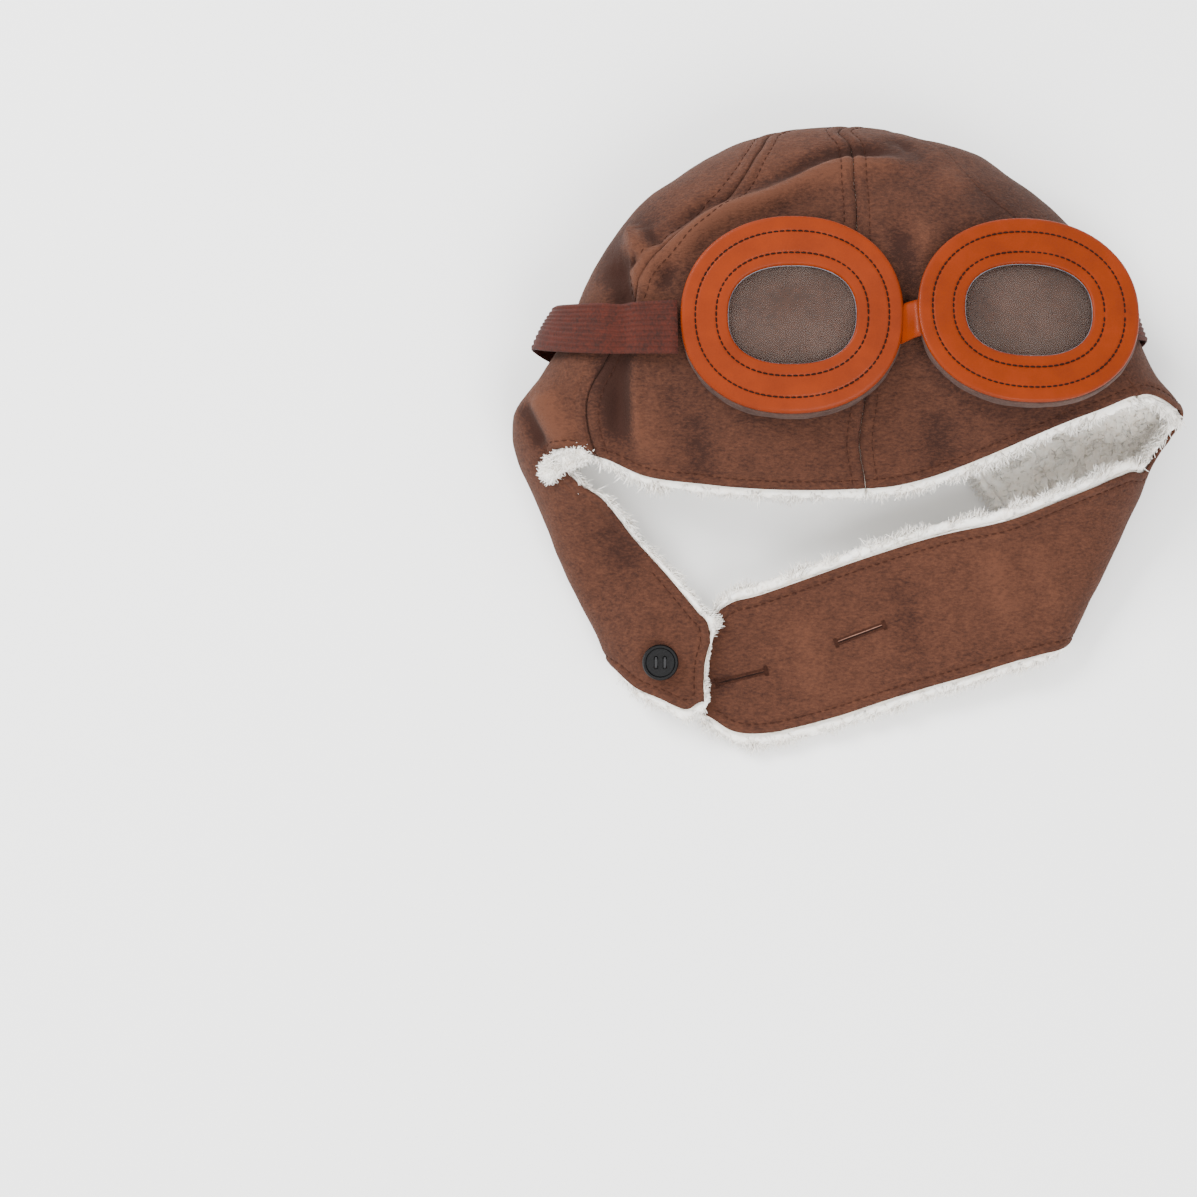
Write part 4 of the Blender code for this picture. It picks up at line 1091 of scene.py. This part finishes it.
@dataclass
class Pile:
    """Curled tufts of sherpa yarn, along the free edges and inside the hat."""

    seed: int = 7
    thickness: float = 0.00055
    clearance: float = 0.0005
    roll_radius: float = 0.0022
    roll_out: float = 0.0020
    roll_step: float = 0.0008
    roll_sides: int = 14
    roll_flat: float = 0.8
    # Where tufts root: how far they lie to either side of the edge's middle, how far out from it there,
    # and how much less far out at the sides
    root_spread: float = 0.0016
    root_out: float = 0.0030
    root_less: float = 0.0018
    per_metre: float = 12000.0
    longest: float = 0.0050
    curl: float = 0.30
    in_lumps: tuple[float, float] = (0.0014, 0.0032)
    inside: tuple[float, float] = (0.0018, 0.0036)

    def tufts(
        self, name: str, roots: Array, ways: Array, facing: Array, lengths: Array, spread: float
    ) -> bpy.types.Object:
        """A piece of tufts.

        Args:
            name: The piece's name.
            roots: Where each tuft starts.
            ways: The way that each grows.
            facing: The normal of the cloth there.
            lengths: How long each is.
            spread: How far the ways scatter.

        Returns:
            The object.
        """
        draw = np.random.default_rng(self.seed)
        count = len(roots)
        side = unit(np.cross(ways, facing))
        astray = side * draw.normal(0, 1, (count, 1)) + facing * draw.normal(0, 0.6, (count, 1))
        heading = unit(ways + spread * astray)
        u = unit(np.cross(heading, draw.normal(0, 1, (count, 3))))
        v = np.cross(heading, u)
        t = np.linspace(0, 1, 3)
        turn = draw.uniform(0, 2 * math.pi, (count, 1)) + t * draw.uniform(1.0, 4.0, (count, 1))
        swing = (lengths[:, None] * self.curl) * t
        paths = (
            roots[:, None]
            + heading[:, None] * (lengths[:, None] * t)[..., None]
            + u[:, None] * (swing * np.cos(turn))[..., None]
            + v[:, None] * (swing * np.sin(turn))[..., None]
        )
        keep_above(paths, self.thickness)
        plump = self.thickness / 2 * draw.uniform(0.6, 1.25, (count, 1))
        radii = plump * np.array((1.0, 1.0, 0.3))
        return add_piece(name, *tube_mesh(paths, radii, 3, u), SHERPA, Slot.FLEECE)

    @staticmethod
    def read_edge(edge: Edge, where: Array) -> Edge:
        """The points, ways, normals and fullness of an edge at these distances along it."""
        points, away, facing, full = edge
        at = travelled(points)
        return *read_along(where, at, points, away, facing), np.interp(where, at, full)

    def roll(self, name: str, edge: Edge) -> bpy.types.Object:
        """A lumpy roll of pile along a free edge, out from it where the edge is full."""
        line, way, up, full = self.read_edge(edge, np.arange(0, travelled(edge[0])[-1], self.roll_step))
        way, up, full = unit(way), unit(up), full[:, None]
        line = line + way * full * self.roll_out
        angles = np.linspace(0, 2 * math.pi, self.roll_sides, endpoint=False)
        ring = way[:, None] * np.cos(angles)[:, None] + up[:, None] * np.sin(angles)[:, None] * self.roll_flat
        spots = line[:, None] + ring * self.roll_radius
        size = self.roll_radius * full * lumps_at(spots, ROLL_LUMPS, 1.0)
        size[[0, -1]] *= 0.15
        spots = line[:, None] + ring * size[..., None]
        keep_above(spots, self.clearance)
        return add_piece(name, spots, capped_faces(*spots.shape[:2]), SHERPA, Slot.FLEECE)

    def edge(self, name: str, edge: Edge) -> None:
        """The roll and the tufts along one free edge."""
        self.roll("pile_roll_" + name, edge)
        draw = np.random.default_rng(self.seed + len(edge[0]))
        whole = travelled(edge[0])[-1]
        count = int(whole * self.per_metre)
        roots, way, up, full = self.read_edge(edge, draw.uniform(0, whole, count))
        clumps = lumps_at(roots, TUFT_CLUMPS)
        lengths = self.longest * full * draw.uniform(0.4, 1.0, count) * (0.85 + 0.8 * clumps)
        way, up = unit(way), unit(up)
        spread = draw.uniform(-1, 1, (count, 1))
        out = self.root_out - self.root_less * spread**2
        roots = roots + up * spread * self.root_spread + way * full[:, None] * out
        self.tufts("pile_tufts_" + name, roots, way, up, np.maximum(lengths, 0.0010), 0.45)

    def lump(self, name: str, centre: Array, radii: Array, count: int) -> None:
        """A ball of pile where the lining bulges out of a fold."""
        draw = np.random.default_rng(self.seed)
        ways = unit(draw.normal(0, 1, (count, 3)))
        roots = centre + ways * radii * draw.uniform(0.55, 0.9, (count, 1))
        facing = unit(draw.normal(0, 1, (count, 3)))
        self.tufts(name, roots, unit(ways / radii), facing, draw.uniform(*self.in_lumps, count), 0.7)
        turns, rises = np.linspace(0, 2 * math.pi, 40, endpoint=False), np.linspace(-1.5, 1.5, 24)
        flat, level = np.cos(rises), np.ones(len(turns))
        outward = ((flat, np.cos(turns)), (flat, np.sin(turns)), (np.sin(rises), level))
        ball = np.stack([np.outer(*pair) for pair in outward], axis=-1)
        spots = centre + ball * radii
        spots = centre + ball * radii * lumps_at(spots, BALL_LUMPS, 1.0)[..., None]
        add_piece(name + "_core", spots, capped_faces(*spots.shape[:2]), SHERPA, Slot.FLEECE)


@dataclass
class Hat:
    """The cloth of the hat: panels, lining, stitches and pile."""

    form: HatForm
    finer: int = 6
    crown_rows: int = 64
    # A buttonhole: its length, and its thread's step, start and reach beside it, radius and bars' length
    buttonhole: float = 0.0195
    hole_step: float = 0.0005
    hole_start: float = 0.0004
    hole_reach: float = 0.0009
    hole_thread: float = 0.00017
    hole_bar: float = 0.0038
    # Tufts inside the hat on the panels that show most, and on each of the others
    inner_tufts: dict[str, int] = field(default_factory=lambda: {"side_flap_right": 5500, "crown_back": 4300})
    other_tufts: int = 800
    lump_tufts: int = 800
    lump_sunk: float = 0.0014
    # Places of the lining's lumps at the left temple: shares across and down, and half sizes
    lumps: tuple = (
        (-0.882, 0.576, (0.0040, 0.0042, 0.0028)),
        (-0.862, 0.566, (0.0050, 0.0044, 0.0032)),
        (-0.832, 0.559, (0.0054, 0.0038, 0.0032)),
        (-0.798, 0.555, (0.0048, 0.0034, 0.0028)),
    )

    def panels(self) -> list[Panel]:
        """The five panels, in the order that they are sewn."""
        form, rows, hem = self.form, self.crown_rows, FRONT_HEM
        left_flap = form.flap_borders(FRONT_SEAM_LEFT, (NAPE_LEFT,), LEFT_STRETCHES, self.finer, rows)
        right_flap = form.flap_borders(FRONT_SEAM_RIGHT, (NAPE_RIGHT,), RIGHT_STRETCHES, self.finer, rows)
        left, centre, right = (form.seam(s, rows) for s in (FRONT_SEAM_LEFT, CENTRE_SEAM, FRONT_SEAM_RIGHT))
        back = (form.seam((NAPE_LEFT,), rows), form.seam((NAPE_RIGHT,), rows))
        return [
            Panel("crown_front_left", "lining_front_left", form, left, centre, 72, hem),
            Panel(
                "crown_front_right", "lining_front_right", form, centre, right, 72, hem,
                quiet=(False, True),
            ),
            Panel("crown_back", "lining_back", form, *back, 64),
            Panel(
                "side_flap_left", "lining_left", form, *left_flap, 84,
                straight=True, lifted=True, seam_rows=rows, end_pile=0.4,
            ),
            Panel(
                "side_flap_right", "lining_right", form, *right_flap, 84,
                straight=True, seam_rows=rows, quiet=(True, False),
            ),
        ]

    def build(self) -> None:
        """Builds and dresses every panel."""
        pile, lines = Pile(), []
        for panel in self.panels():
            panel.build_suede()
            panel.build_fleece()
            lines += panel.stitch_lines()
            edge = panel.hem_path()
            pile.edge(panel.name, edge)
            self.inner_pile(pile, panel)
        Stitching().build("suede_topstitching", lines, SUEDE_THREAD, Slot.SUEDE)
        self.build_temple_lump(pile)
        for number, (across, down, slant, gapes) in enumerate(BUTTONHOLES):
            self.build_buttonhole(number, across, down, slant, gapes)

    def build_temple_lump(self, pile: Pile) -> None:
        """The lining that bulges out where the left flap turns up at the temple."""
        form = self.form
        for number, (across, down, radii) in enumerate(self.lumps):
            top = form.cloth(form.disc_place(1, across, down)[None], 0.0, False, True)[0]
            pile.lump(f"pile_lump_{number}", top - (0, 0, self.lump_sunk), np.array(radii), self.lump_tufts)

    def build_buttonhole(self, number: int, across: float, down: float, slant: float, gapes: bool) -> None:
        """A slit, drawn as a thin dark tube of painted shadow, with a fine stitched edge on both sides and a
        bar of thread at each end.

        Args:
            number: Its number in BUTTONHOLES.
            across: Share across.
            down: Share down.
            slant: Its slant in degrees.
            gapes: Whether it stands open and shows a pale lip.
        """
        form = self.form
        way = np.array((math.cos(math.radians(slant)), math.sin(math.radians(slant))))
        side = np.array((-way[1], way[0]))
        middle = form.plan(across, down)

        def laid(run: Array, off: Array, rise: Array | float) -> Array:
            """Points over the suede, this far along and beside the slit."""
            plan = middle + run[..., None] * way + off[..., None] * side
            places = [form.disc_place(1, *place) for place in zip(*form.shares(plan.reshape(-1, 2)))]
            spots = form.cloth(np.array(places), 0.0, False, True)
            spots[:, 2] += Panel.waves(spots)
            spots = spots.reshape(*plan.shape[:-1], 3)
            spots[..., 2] += rise
            return spots

        half = self.buttonhole / 2
        run = np.linspace(-half, half, 60)
        # The slit is a thin dark tube in the dark brown thread's finish on the uncut suede: painted shadow
        drawn = [("slit", -0.00012, 0.00030, BROWN_THREAD)]
        if gapes:
            drawn.append(("lip", 0.00030, 0.00020, CUT_EDGE))
        for name, off, radius, finish in drawn:
            radii = radius * np.sqrt(np.maximum(1 - np.abs(run / half) ** 6, 0.02))[None]
            path = laid(run, np.full_like(run, off), 0.0)[None]
            add_piece(f"buttonhole_{name}_{number}", *tube_mesh(path, radii, 8, UPWARD), finish, Slot.SUEDE)
        shares = np.array((0.0, 0.25, 0.5, 0.75, 1.0))
        starts = np.arange(-half, half, self.hole_step)
        off = (self.hole_start + shares * self.hole_reach)[None].repeat(len(starts), 0)
        beside = np.concatenate((-off, off))
        along = np.concatenate((starts, starts))[:, None] + 0.0001 * shares
        rise = 0.00025 * np.sin(math.pi * shares) - 0.0001
        paths = [laid(along, beside, rise)]
        for end in (-1, 1):
            runs = end * half + np.linspace(-0.0005, 0.0007, 5)[:, None] * end + 0 * shares
            offs = (shares - 0.5)[None] * self.hole_bar + 0 * runs
            paths.append(laid(runs, offs, rise + 0.00015))
        paths = np.concatenate(paths)
        radii = np.tile(np.array((0.6, 1.0, 1.0, 1.0, 0.6)) * self.hole_thread, (len(paths), 1))
        tubes = tube_mesh(paths, radii, 5, np.tile(UPWARD, (len(paths), 1)))
        add_piece(f"buttonhole_stitches_{number}", *tubes, SUEDE_THREAD, Slot.SUEDE)

    def inner_pile(self, pile: Pile, panel: Panel) -> None:
        """Tufts on the inside of the hat near its opening, where the lining shows."""
        depth = panel.suede + panel.fleece_gap + panel.fleece * 0.9
        inner = self.form.cloth(panel.grid, depth, panel.lifted, True)
        near = (inner[..., 1] < 0.026) & (inner[..., 1] > -0.060) & (panel.to_hem > 0.001)
        rows, columns = np.nonzero(near)
        draw = np.random.default_rng(11 + len(rows))
        if len(rows) == 0:
            return
        lengths = np.linalg.norm(np.diff(inner, axis=1), axis=-1)
        weight = lengths[rows, np.minimum(columns, lengths.shape[1] - 1)]
        count = self.inner_tufts.get(panel.name, self.other_tufts)
        pick = draw.choice(len(rows), count, p=weight / weight.sum())
        roots = inner[rows[pick], columns[pick]] + draw.normal(0, 0.0004, (count, 3))
        facing = -panel.normal[rows[pick], columns[pick]]
        side = unit(np.cross(facing, draw.normal(0, 1, (count, 3))))
        ways = unit(facing * 0.6 + side * 0.9)
        pile.tufts("pile_inside_" + panel.name, roots, ways, facing, draw.uniform(*pile.inside, count), 0.5)


# Where the two rows of stitches run, as shares from the opening to the rim, and the ring's rounded
# edges: share from the opening to the rim, share of the leather's thickness.
STITCH_ROWS = (0.25, 0.69)
RING_INNER_EDGE = ((0.0, 0.0), (0.0, 0.45), (0.006, 0.72), (0.022, 0.92), (0.05, 1.0))
RING_OUTER_EDGE = ((0.95, 0.99), (0.978, 0.90), (0.994, 0.70), (1.0, 0.42), (1.0, 0.0))
# The pad round its section: share from the opening to the rim, share from the crown to the leather.
PAD_PROFILE = (
    (0.0, 0.0), (0.0, 0.5), (0.0, 1.0), (0.25, 1.0), (0.5, 1.0), (0.75, 1.0), (0.96, 1.0),
    (0.985, 0.96), (0.992, 0.85), (1.0, 0.6), (1.0, 0.35), (0.992, 0.12), (0.975, 0.02),
    (0.75, 0.0), (0.5, 0.0), (0.25, 0.0),
)


@dataclass
class Goggle:
    """One goggle: a stitched leather ring, a vinyl pane behind its opening and a foam pad under it."""

    which: Which
    form: HatForm
    opening: tuple[float, float] = (0.049, 0.037)
    opening_shape: float = 2.4
    shape: float = 2.15
    leather: float = 0.0022
    bend: float = 0.002
    pad_least: float = 0.0028
    pad_most: float = 0.008
    pad_proud: float = 0.0008
    pad_show: float = 0.0001
    pad_drop: float = 0.0006
    pane_lap: float = 0.004
    pane: float = 0.0008
    edge_radius: float = 0.00045
    gap: float = 0.0003
    sides: int = 160

    @property
    def rim(self) -> tuple[float, float]:
        """The ring's width and height."""
        return (self.form.goggle_width, self.form.goggle_height)

    def front_height(self, x: Array, y: Array) -> Array:
        """Height of the plain crown front over a place of the plan."""
        reach = np.sqrt(np.clip(1 - y / self.form.length, 1e-6, 1))
        side, front, _, fullness = self.form.section_at(reach)[2:]
        cosine = self.form.cosine_at(reach, x / self.form.half_width)
        return (side + (front - side) * np.sqrt(1 - np.abs(cosine) ** fullness)) * self.form.depth

    def outline(self, width: float, height: float, shape: float, angles: Array) -> Array:
        """Plan points of a rounded outline of this width and height."""
        middle = self.form.plan(*self.form.goggles[self.which][:2])
        cosine, sine = np.cos(angles), np.sin(angles)
        x = np.sign(cosine) * np.abs(cosine) ** (2 / shape) * width / 2
        y = np.sign(sine) * np.abs(sine) ** (2 / shape) * height / 2
        return np.stack((x, y), axis=-1) + middle

    def base(self, x: Array, y: Array) -> Array:
        """Height of the underside of the leather, which leans with the crown and bends a little."""
        across, down, lean_across, lean_up = self.form.goggles[self.which]
        middle = self.form.plan(across, down)

        def leaning(px: Array, py: Array) -> Array:
            """The lean alone."""
            dx, dy = px - middle[0], py - middle[1]
            return lean_across * dx + lean_up * dy - self.bend * (2 * dx / self.rim[0]) ** 2

        rim = self.outline(*self.rim, self.shape, np.linspace(0, 2 * math.pi, 32, endpoint=False))
        under = np.concatenate([middle + share * (rim - middle) for share in (0.3, 0.6, 0.8, 1)])
        rise = (self.front_height(under[:, 0], under[:, 1]) - leaning(under[:, 0], under[:, 1])).max()
        return rise + self.pad_least + leaning(x, y)

    def ring_points(self, inner: Sequence, outer: Sequence, profile: Iterable, angles: Array) -> Array:
        """Rows of points round a ring, for a profile of shares across and height rules."""
        inside, outside = self.outline(*inner, angles), self.outline(*outer, angles)
        rows = []
        for share, rule in profile:
            plan = inside + share * (outside - inside)
            rows.append(np.column_stack((plan, rule(plan[:, 0], plan[:, 1]))))
        return np.array(rows) + self.form.shift

    def build(self) -> None:
        """The ring, its stitches, the pane and the pad."""
        angles = np.linspace(0, 2 * math.pi, self.sides, endpoint=False)
        opening = (*self.opening, self.opening_shape)
        rim = (*self.rim, self.shape)
        name = self.which.value

        def at(height: float) -> Callable[[Array, Array], Array]:
            """The rule for this share of the leather's thickness."""
            return lambda x, y: self.base(x, y) + height * self.leather

        face = [(s, self.swell(s) - self.dip(s)) for s in np.linspace(0.09, 0.91, 30)]
        profile = (*RING_INNER_EDGE, *face, *RING_OUTER_EDGE)
        points = self.ring_points(opening, rim, [(s, at(h)) for s, h in profile], angles)
        points[2:-2, :, 2] += 0.00022 * noise_at(points[2:-2], 0.012, 3.0 + len(name))
        faces = [face[::-1] for face in looped_faces(len(points), self.sides)]
        add_piece("leather_ring_" + name, points, faces, LEATHER, Slot.LEATHER, ["goggle_frame_" + name])
        self.build_stitches(angles, opening, rim, at)
        self.build_pane(angles)
        self.build_pad(angles)

    @staticmethod
    def swell(share: float) -> float:
        """How high the soft leather stands over the pad, as a share of its thickness."""
        return 1.0 + 0.10 * math.sin(math.pi * share)

    @staticmethod
    def dip(share: float) -> float:
        """How far the thread pulls the leather down, as a share of its thickness."""
        return 0.16 * sum(math.exp(-(((share - s) / 0.018) ** 2)) for s in STITCH_ROWS)

    def build_stitches(self, angles: Array, opening: tuple, rim: tuple, at: Callable) -> None:
        """Two rows of stitches round the ring."""
        closed = np.append(angles, angles[0])
        lines = []
        for share in STITCH_ROWS:
            points = self.ring_points(opening, rim, [(share, at(self.swell(share) - 0.13))], closed)[0]
            lines.append((points, np.zeros_like(points) + (0, 0, 1)))
        Stitching(0.0021, 0.00022, 0.00062, 0.00002).build(
            "leather_stitches_" + self.which.value, lines, BROWN_THREAD, Slot.LEATHER
        )

    def build_pane(self, angles: Array) -> None:
        """The clear pane, a little domed, and its cut edge."""
        pane = [size + self.pane_lap for size in self.opening]
        edge = self.outline(*pane, self.opening_shape, angles)
        middle = edge.mean(axis=0)
        rows = []
        for share in (0.02, 0.2, 0.4, 0.6, 0.75, 0.88, 0.96, 1.0):
            plan = middle + share * (edge - middle)
            height = self.base(plan[:, 0], plan[:, 1]) - self.gap + self.pane * (1 - share**2)
            rows.append(np.column_stack((plan, height)))
        top = np.array(rows) + self.form.shift
        low = top - (0, 0, self.pane)
        count, size = len(top), self.sides
        skin = grid_faces(count, size, True)
        faces = [face[::-1] for face in skin] + [tuple(i + count * size for i in face) for face in skin]
        faces += [tuple(range(size)), tuple(count * size + s for s in range(size))[::-1]]
        rim, under = (count - 1) * size, (2 * count - 1) * size
        faces += [(rim + s, under + s, under + (s + 1) % size, rim + (s + 1) % size) for s in range(size)]
        name = self.which.value
        points = np.concatenate((top, low))
        add_piece("vinyl_pane_" + name, points, faces, PANE, Slot.PANE, ["goggle_lens_" + name])
        closed = np.append(angles, angles[0])
        line = self.outline(*(size + 0.0004 for size in self.opening), self.opening_shape, closed)
        height = self.base(line[:, 0], line[:, 1]) + 0.0004
        path = np.column_stack((line, height)) + self.form.shift
        tube = tube_mesh(path[None], np.full((1, len(path)), self.edge_radius), 8, UPWARD)
        add_piece("vinyl_edge_" + name, *tube, PANE_EDGE, Slot.PANE)

    def build_pad(self, angles: Array) -> None:
        """The foam pad, pressed between the leather and the crown, its sides a little swollen."""
        hole = [size + self.pane_lap + 4 * self.gap for size in self.opening] + [self.opening_shape]
        edge = [size + 2 * self.pad_show for size in self.rim] + [self.shape]

        def between(share: float) -> Callable[[Array, Array], Array]:
            """The rule for a height between the pad's underside and its top."""

            def rule(x: Array, y: Array) -> Array:
                """The height there."""
                top = self.base(x, y) - self.gap
                low = np.maximum(self.front_height(x, y) + 0.0009, self.base(x, y) - self.pad_most)
                return low + share * (top - low)

            return rule

        points = self.ring_points(hole, edge, [(s, between(h)) for s, h in PAD_PROFILE], angles)
        side, middle = points[8:13], points.mean(axis=(0, 1))
        side += unit((side - middle) * (1, 1, 0)) * 0.0003 * noise_at(side, 0.006, 5.0)[..., None]
        points[3:] -= (0, self.pad_drop, 0)
        faces = looped_faces(len(points), self.sides)
        name = self.which.value
        pad = add_piece("foam_pad_" + name, points, faces, FOAM, Slot.FOAM, ["goggle_pad_" + name])


@dataclass
class Strap:
    """The leather bridge between the goggles and the ribbed elastic round the crown."""

    form: HatForm
    left: Goggle
    right: Goggle
    bridge_height: float = 0.0146
    bridge_leather: float = 0.0018
    bridge_drop: float = 0.0035
    bridge_tuck: float = 0.0024
    elastic_width: float = 0.0185
    elastic: float = 0.0014
    elastic_gap: float = 0.0006
    elastic_points: int = 150
    ribs: int = 10
    rib_points: int = 6
    # Where the elastic stands off the crown: how far, the middle and the width of it in degrees
    stand_off: float = 0.0036
    bulge_turn: float = 181.0
    bulge_width: float = 15.0
    clearance: float = 0.0003

    def build_bridge(self) -> None:
        """The bridge: a strip that dips from ring to ring, tucked under both."""
        along = np.linspace(0, 1, 41)[:, None]
        share = np.concatenate((along, along, smoothstep(along)), axis=1)
        tops = []
        for row in np.linspace(-1, 1, 21):
            ends = []
            for goggle, side in ((self.left, 1), (self.right, -1)):
                x, y = self.form.plan(*self.form.goggles[goggle.which][:2])
                x = x + side * (goggle.rim[0] / 2 - self.bridge_tuck)
                y = y - self.bridge_drop + row * self.bridge_height / 2
                ends.append(np.array((x, y, float(goggle.base(x, y)))))
            line = ends[0] + share * (ends[1] - ends[0])
            line[:, 2] -= self.bridge_leather * (1 - smoothstep(2.6 * (0.5 - np.abs(along[:, 0] - 0.5))))
            line[:, 2] += self.bridge_leather * (1 - 0.5 * abs(row) ** 8)
            tops.append(line)
        top = np.array(tops) + self.form.shift
        top[..., 2] += 0.00015 * noise_at(top, 0.006, 2.0)
        low = top - (0, 0, self.bridge_leather * 0.9)
        add_piece("leather_bridge", *shell(top, low), LEATHER, Slot.LEATHER, ["goggle_bridge"])

    def build_elastic(self) -> None:
        """The elastic, with ribs that run along it."""
        path = np.array(ELASTIC_PATH)
        beside = self.form.plan(*self.form.goggles[Which.LEFT][:2])[0] - self.left.rim[0] / 2
        beside = beside - self.left.pad_proud + self.elastic_gap
        outer, inner = [], []
        across = self.ribs * self.rib_points + 1
        for step in range(across):
            side = -1 + 2 * step / (across - 1)
            reach = np.sqrt(path[0, 1] + side * self.elastic_width / 2 / self.form.length)
            cosine = self.form.cosine_at(reach, beside / self.form.half_width)
            turns = np.linspace(math.degrees(math.acos(cosine)), path[-1, 0], self.elastic_points)
            down, off = smooth(path[:, 0], path[:, 1:], turns).T
            turn = np.radians(turns)
            reach = np.sqrt(down + side * self.elastic_width / 2 / self.form.length)
            disc = np.stack((reach * np.cos(turn), reach * np.sin(turn)), axis=-1)
            rib = 0.5 - 0.5 * math.cos(2 * math.pi * self.ribs * step / (across - 1))
            bulge = ridge(turns - self.bulge_turn, self.bulge_width) * (1 - 0.45 * (side - 0.1) ** 2)
            lift = np.maximum(off, 0) + self.elastic_gap + self.stand_off * bulge
            facing = self.form.outward(disc)
            rest = self.form.cloth(disc)
            outer.append(rest + facing * (lift + self.elastic * (0.62 + 0.38 * rib))[:, None])
            inner.append(rest + facing * (lift + self.elastic * 0.15 * (1 - rib))[:, None])
        top, low = np.array(outer), np.array(inner)
        keep_above(top, self.clearance)
        keep_above(low, self.clearance)
        add_piece("ribbed_elastic_band", *shell(top, low), ELASTIC, Slot.ELASTIC, ["elastic_band"])


@dataclass
class Studio:
    """A pale floor, soft lamps and a long lens that looks steeply down."""

    photo_size: int = 1197
    pixels_per_metre: float = 2600.0
    elevation: float = 80.0
    distance: float = 3.0
    middle: tuple[float, float, float] = (-0.0963, -0.068, 0.03)
    floor_half: float = 3.0
    world_strength: float = 1.75
    # Name, place, size and power of each lamp: a large key from the upper left, and one from the front
    lamps: tuple = (("key", (-1.15, 0.75, 1.3), 0.9, 58.0), ("front", (0.5, -1.3, 1.6), 1.2, 50.0))

    def build(self) -> None:
        """Builds the floor, the lamps, the world and the camera."""
        self.build_floor()
        self.build_lamps()
        self.build_camera()

    def build_floor(self) -> None:
        """The floor: a pale matt plane just under the hat."""
        mesh = bpy.data.meshes.new("floor")
        s = self.floor_half
        mesh.from_pydata([(-s, -s, 0), (s, -s, 0), (s, s, 0), (-s, s, 0)], [], [(0, 1, 2, 3)])
        made = bpy.data.materials.new("pale_floor")
        made.use_nodes = True
        shader = made.node_tree.nodes["Principled BSDF"]
        shader.inputs["Base Color"].default_value = linear("#FAFAF9")
        shader.inputs["Roughness"].default_value = 0.9
        mesh.materials.append(made)
        floor = bpy.data.objects.new("floor", mesh)
        bpy.context.scene.collection.objects.link(floor)

    def lamp(self, name: str, place: tuple, size: float, power: float) -> None:
        """A soft square lamp that looks at the hat."""
        data = bpy.data.lights.new(name, "AREA")
        data.shape, data.size, data.energy = "SQUARE", size, power
        made = bpy.data.objects.new(name, data)
        made.location = place
        made.rotation_euler = (Vector((0, 0, 0)) - Vector(place)).to_track_quat("-Z", "Y").to_euler()
        bpy.context.scene.collection.objects.link(made)

    def build_lamps(self) -> None:
        """The lamps, and the world as the fill."""
        for lamp in self.lamps:
            self.lamp(*lamp)
        world = bpy.data.worlds.new("studio")
        world.use_nodes = True
        world.node_tree.nodes["Background"].inputs["Color"].default_value = (1.0, 1.0, 1.0, 1.0)
        world.node_tree.nodes["Background"].inputs["Strength"].default_value = self.world_strength
        bpy.context.scene.world = world

    def build_camera(self) -> None:
        """The camera: the photograph's frame covers its width in pixels at this scale."""
        data = bpy.data.cameras.new("camera")
        half = self.photo_size / self.pixels_per_metre / 2
        data.sensor_width = data.sensor_height = 36.0
        data.lens = 18.0 / (half / self.distance)
        data.clip_end = 20.0
        made = bpy.data.objects.new("camera", data)
        tilt = math.radians(self.elevation)
        away = Vector((0, -math.cos(tilt), math.sin(tilt)))
        made.location = Vector(self.middle) + away * self.distance
        made.rotation_euler = away.to_track_quat("Z", "Y").to_euler()
        bpy.context.scene.collection.objects.link(made)
        bpy.context.scene.camera = made


def dress(node: str, finish: Finish) -> None:
    """Gives a node of the frame its finish."""
    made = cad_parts[node]
    for place in made.material_slots:
        place.material = finish.build()
    LOG.info("%s: dressed", node)


def main() -> None:
    """Builds the hat piece by piece."""
    logging.basicConfig(level=logging.INFO)
    form = HatForm()
    form.find_shift()
    Studio().build()
    Hat(form).build()
    goggles = [Goggle(which, form) for which in Which]
    for goggle in goggles:
        goggle.build()
    strap = Strap(form, *goggles)
    strap.build_bridge()
    strap.build_elastic()
    dress("chin_button", BUTTON_RESIN)
    dress("button_thread", BLACK_THREAD)
    bpy.context.view_layer.update()


if __name__ == "__main__":
    main()
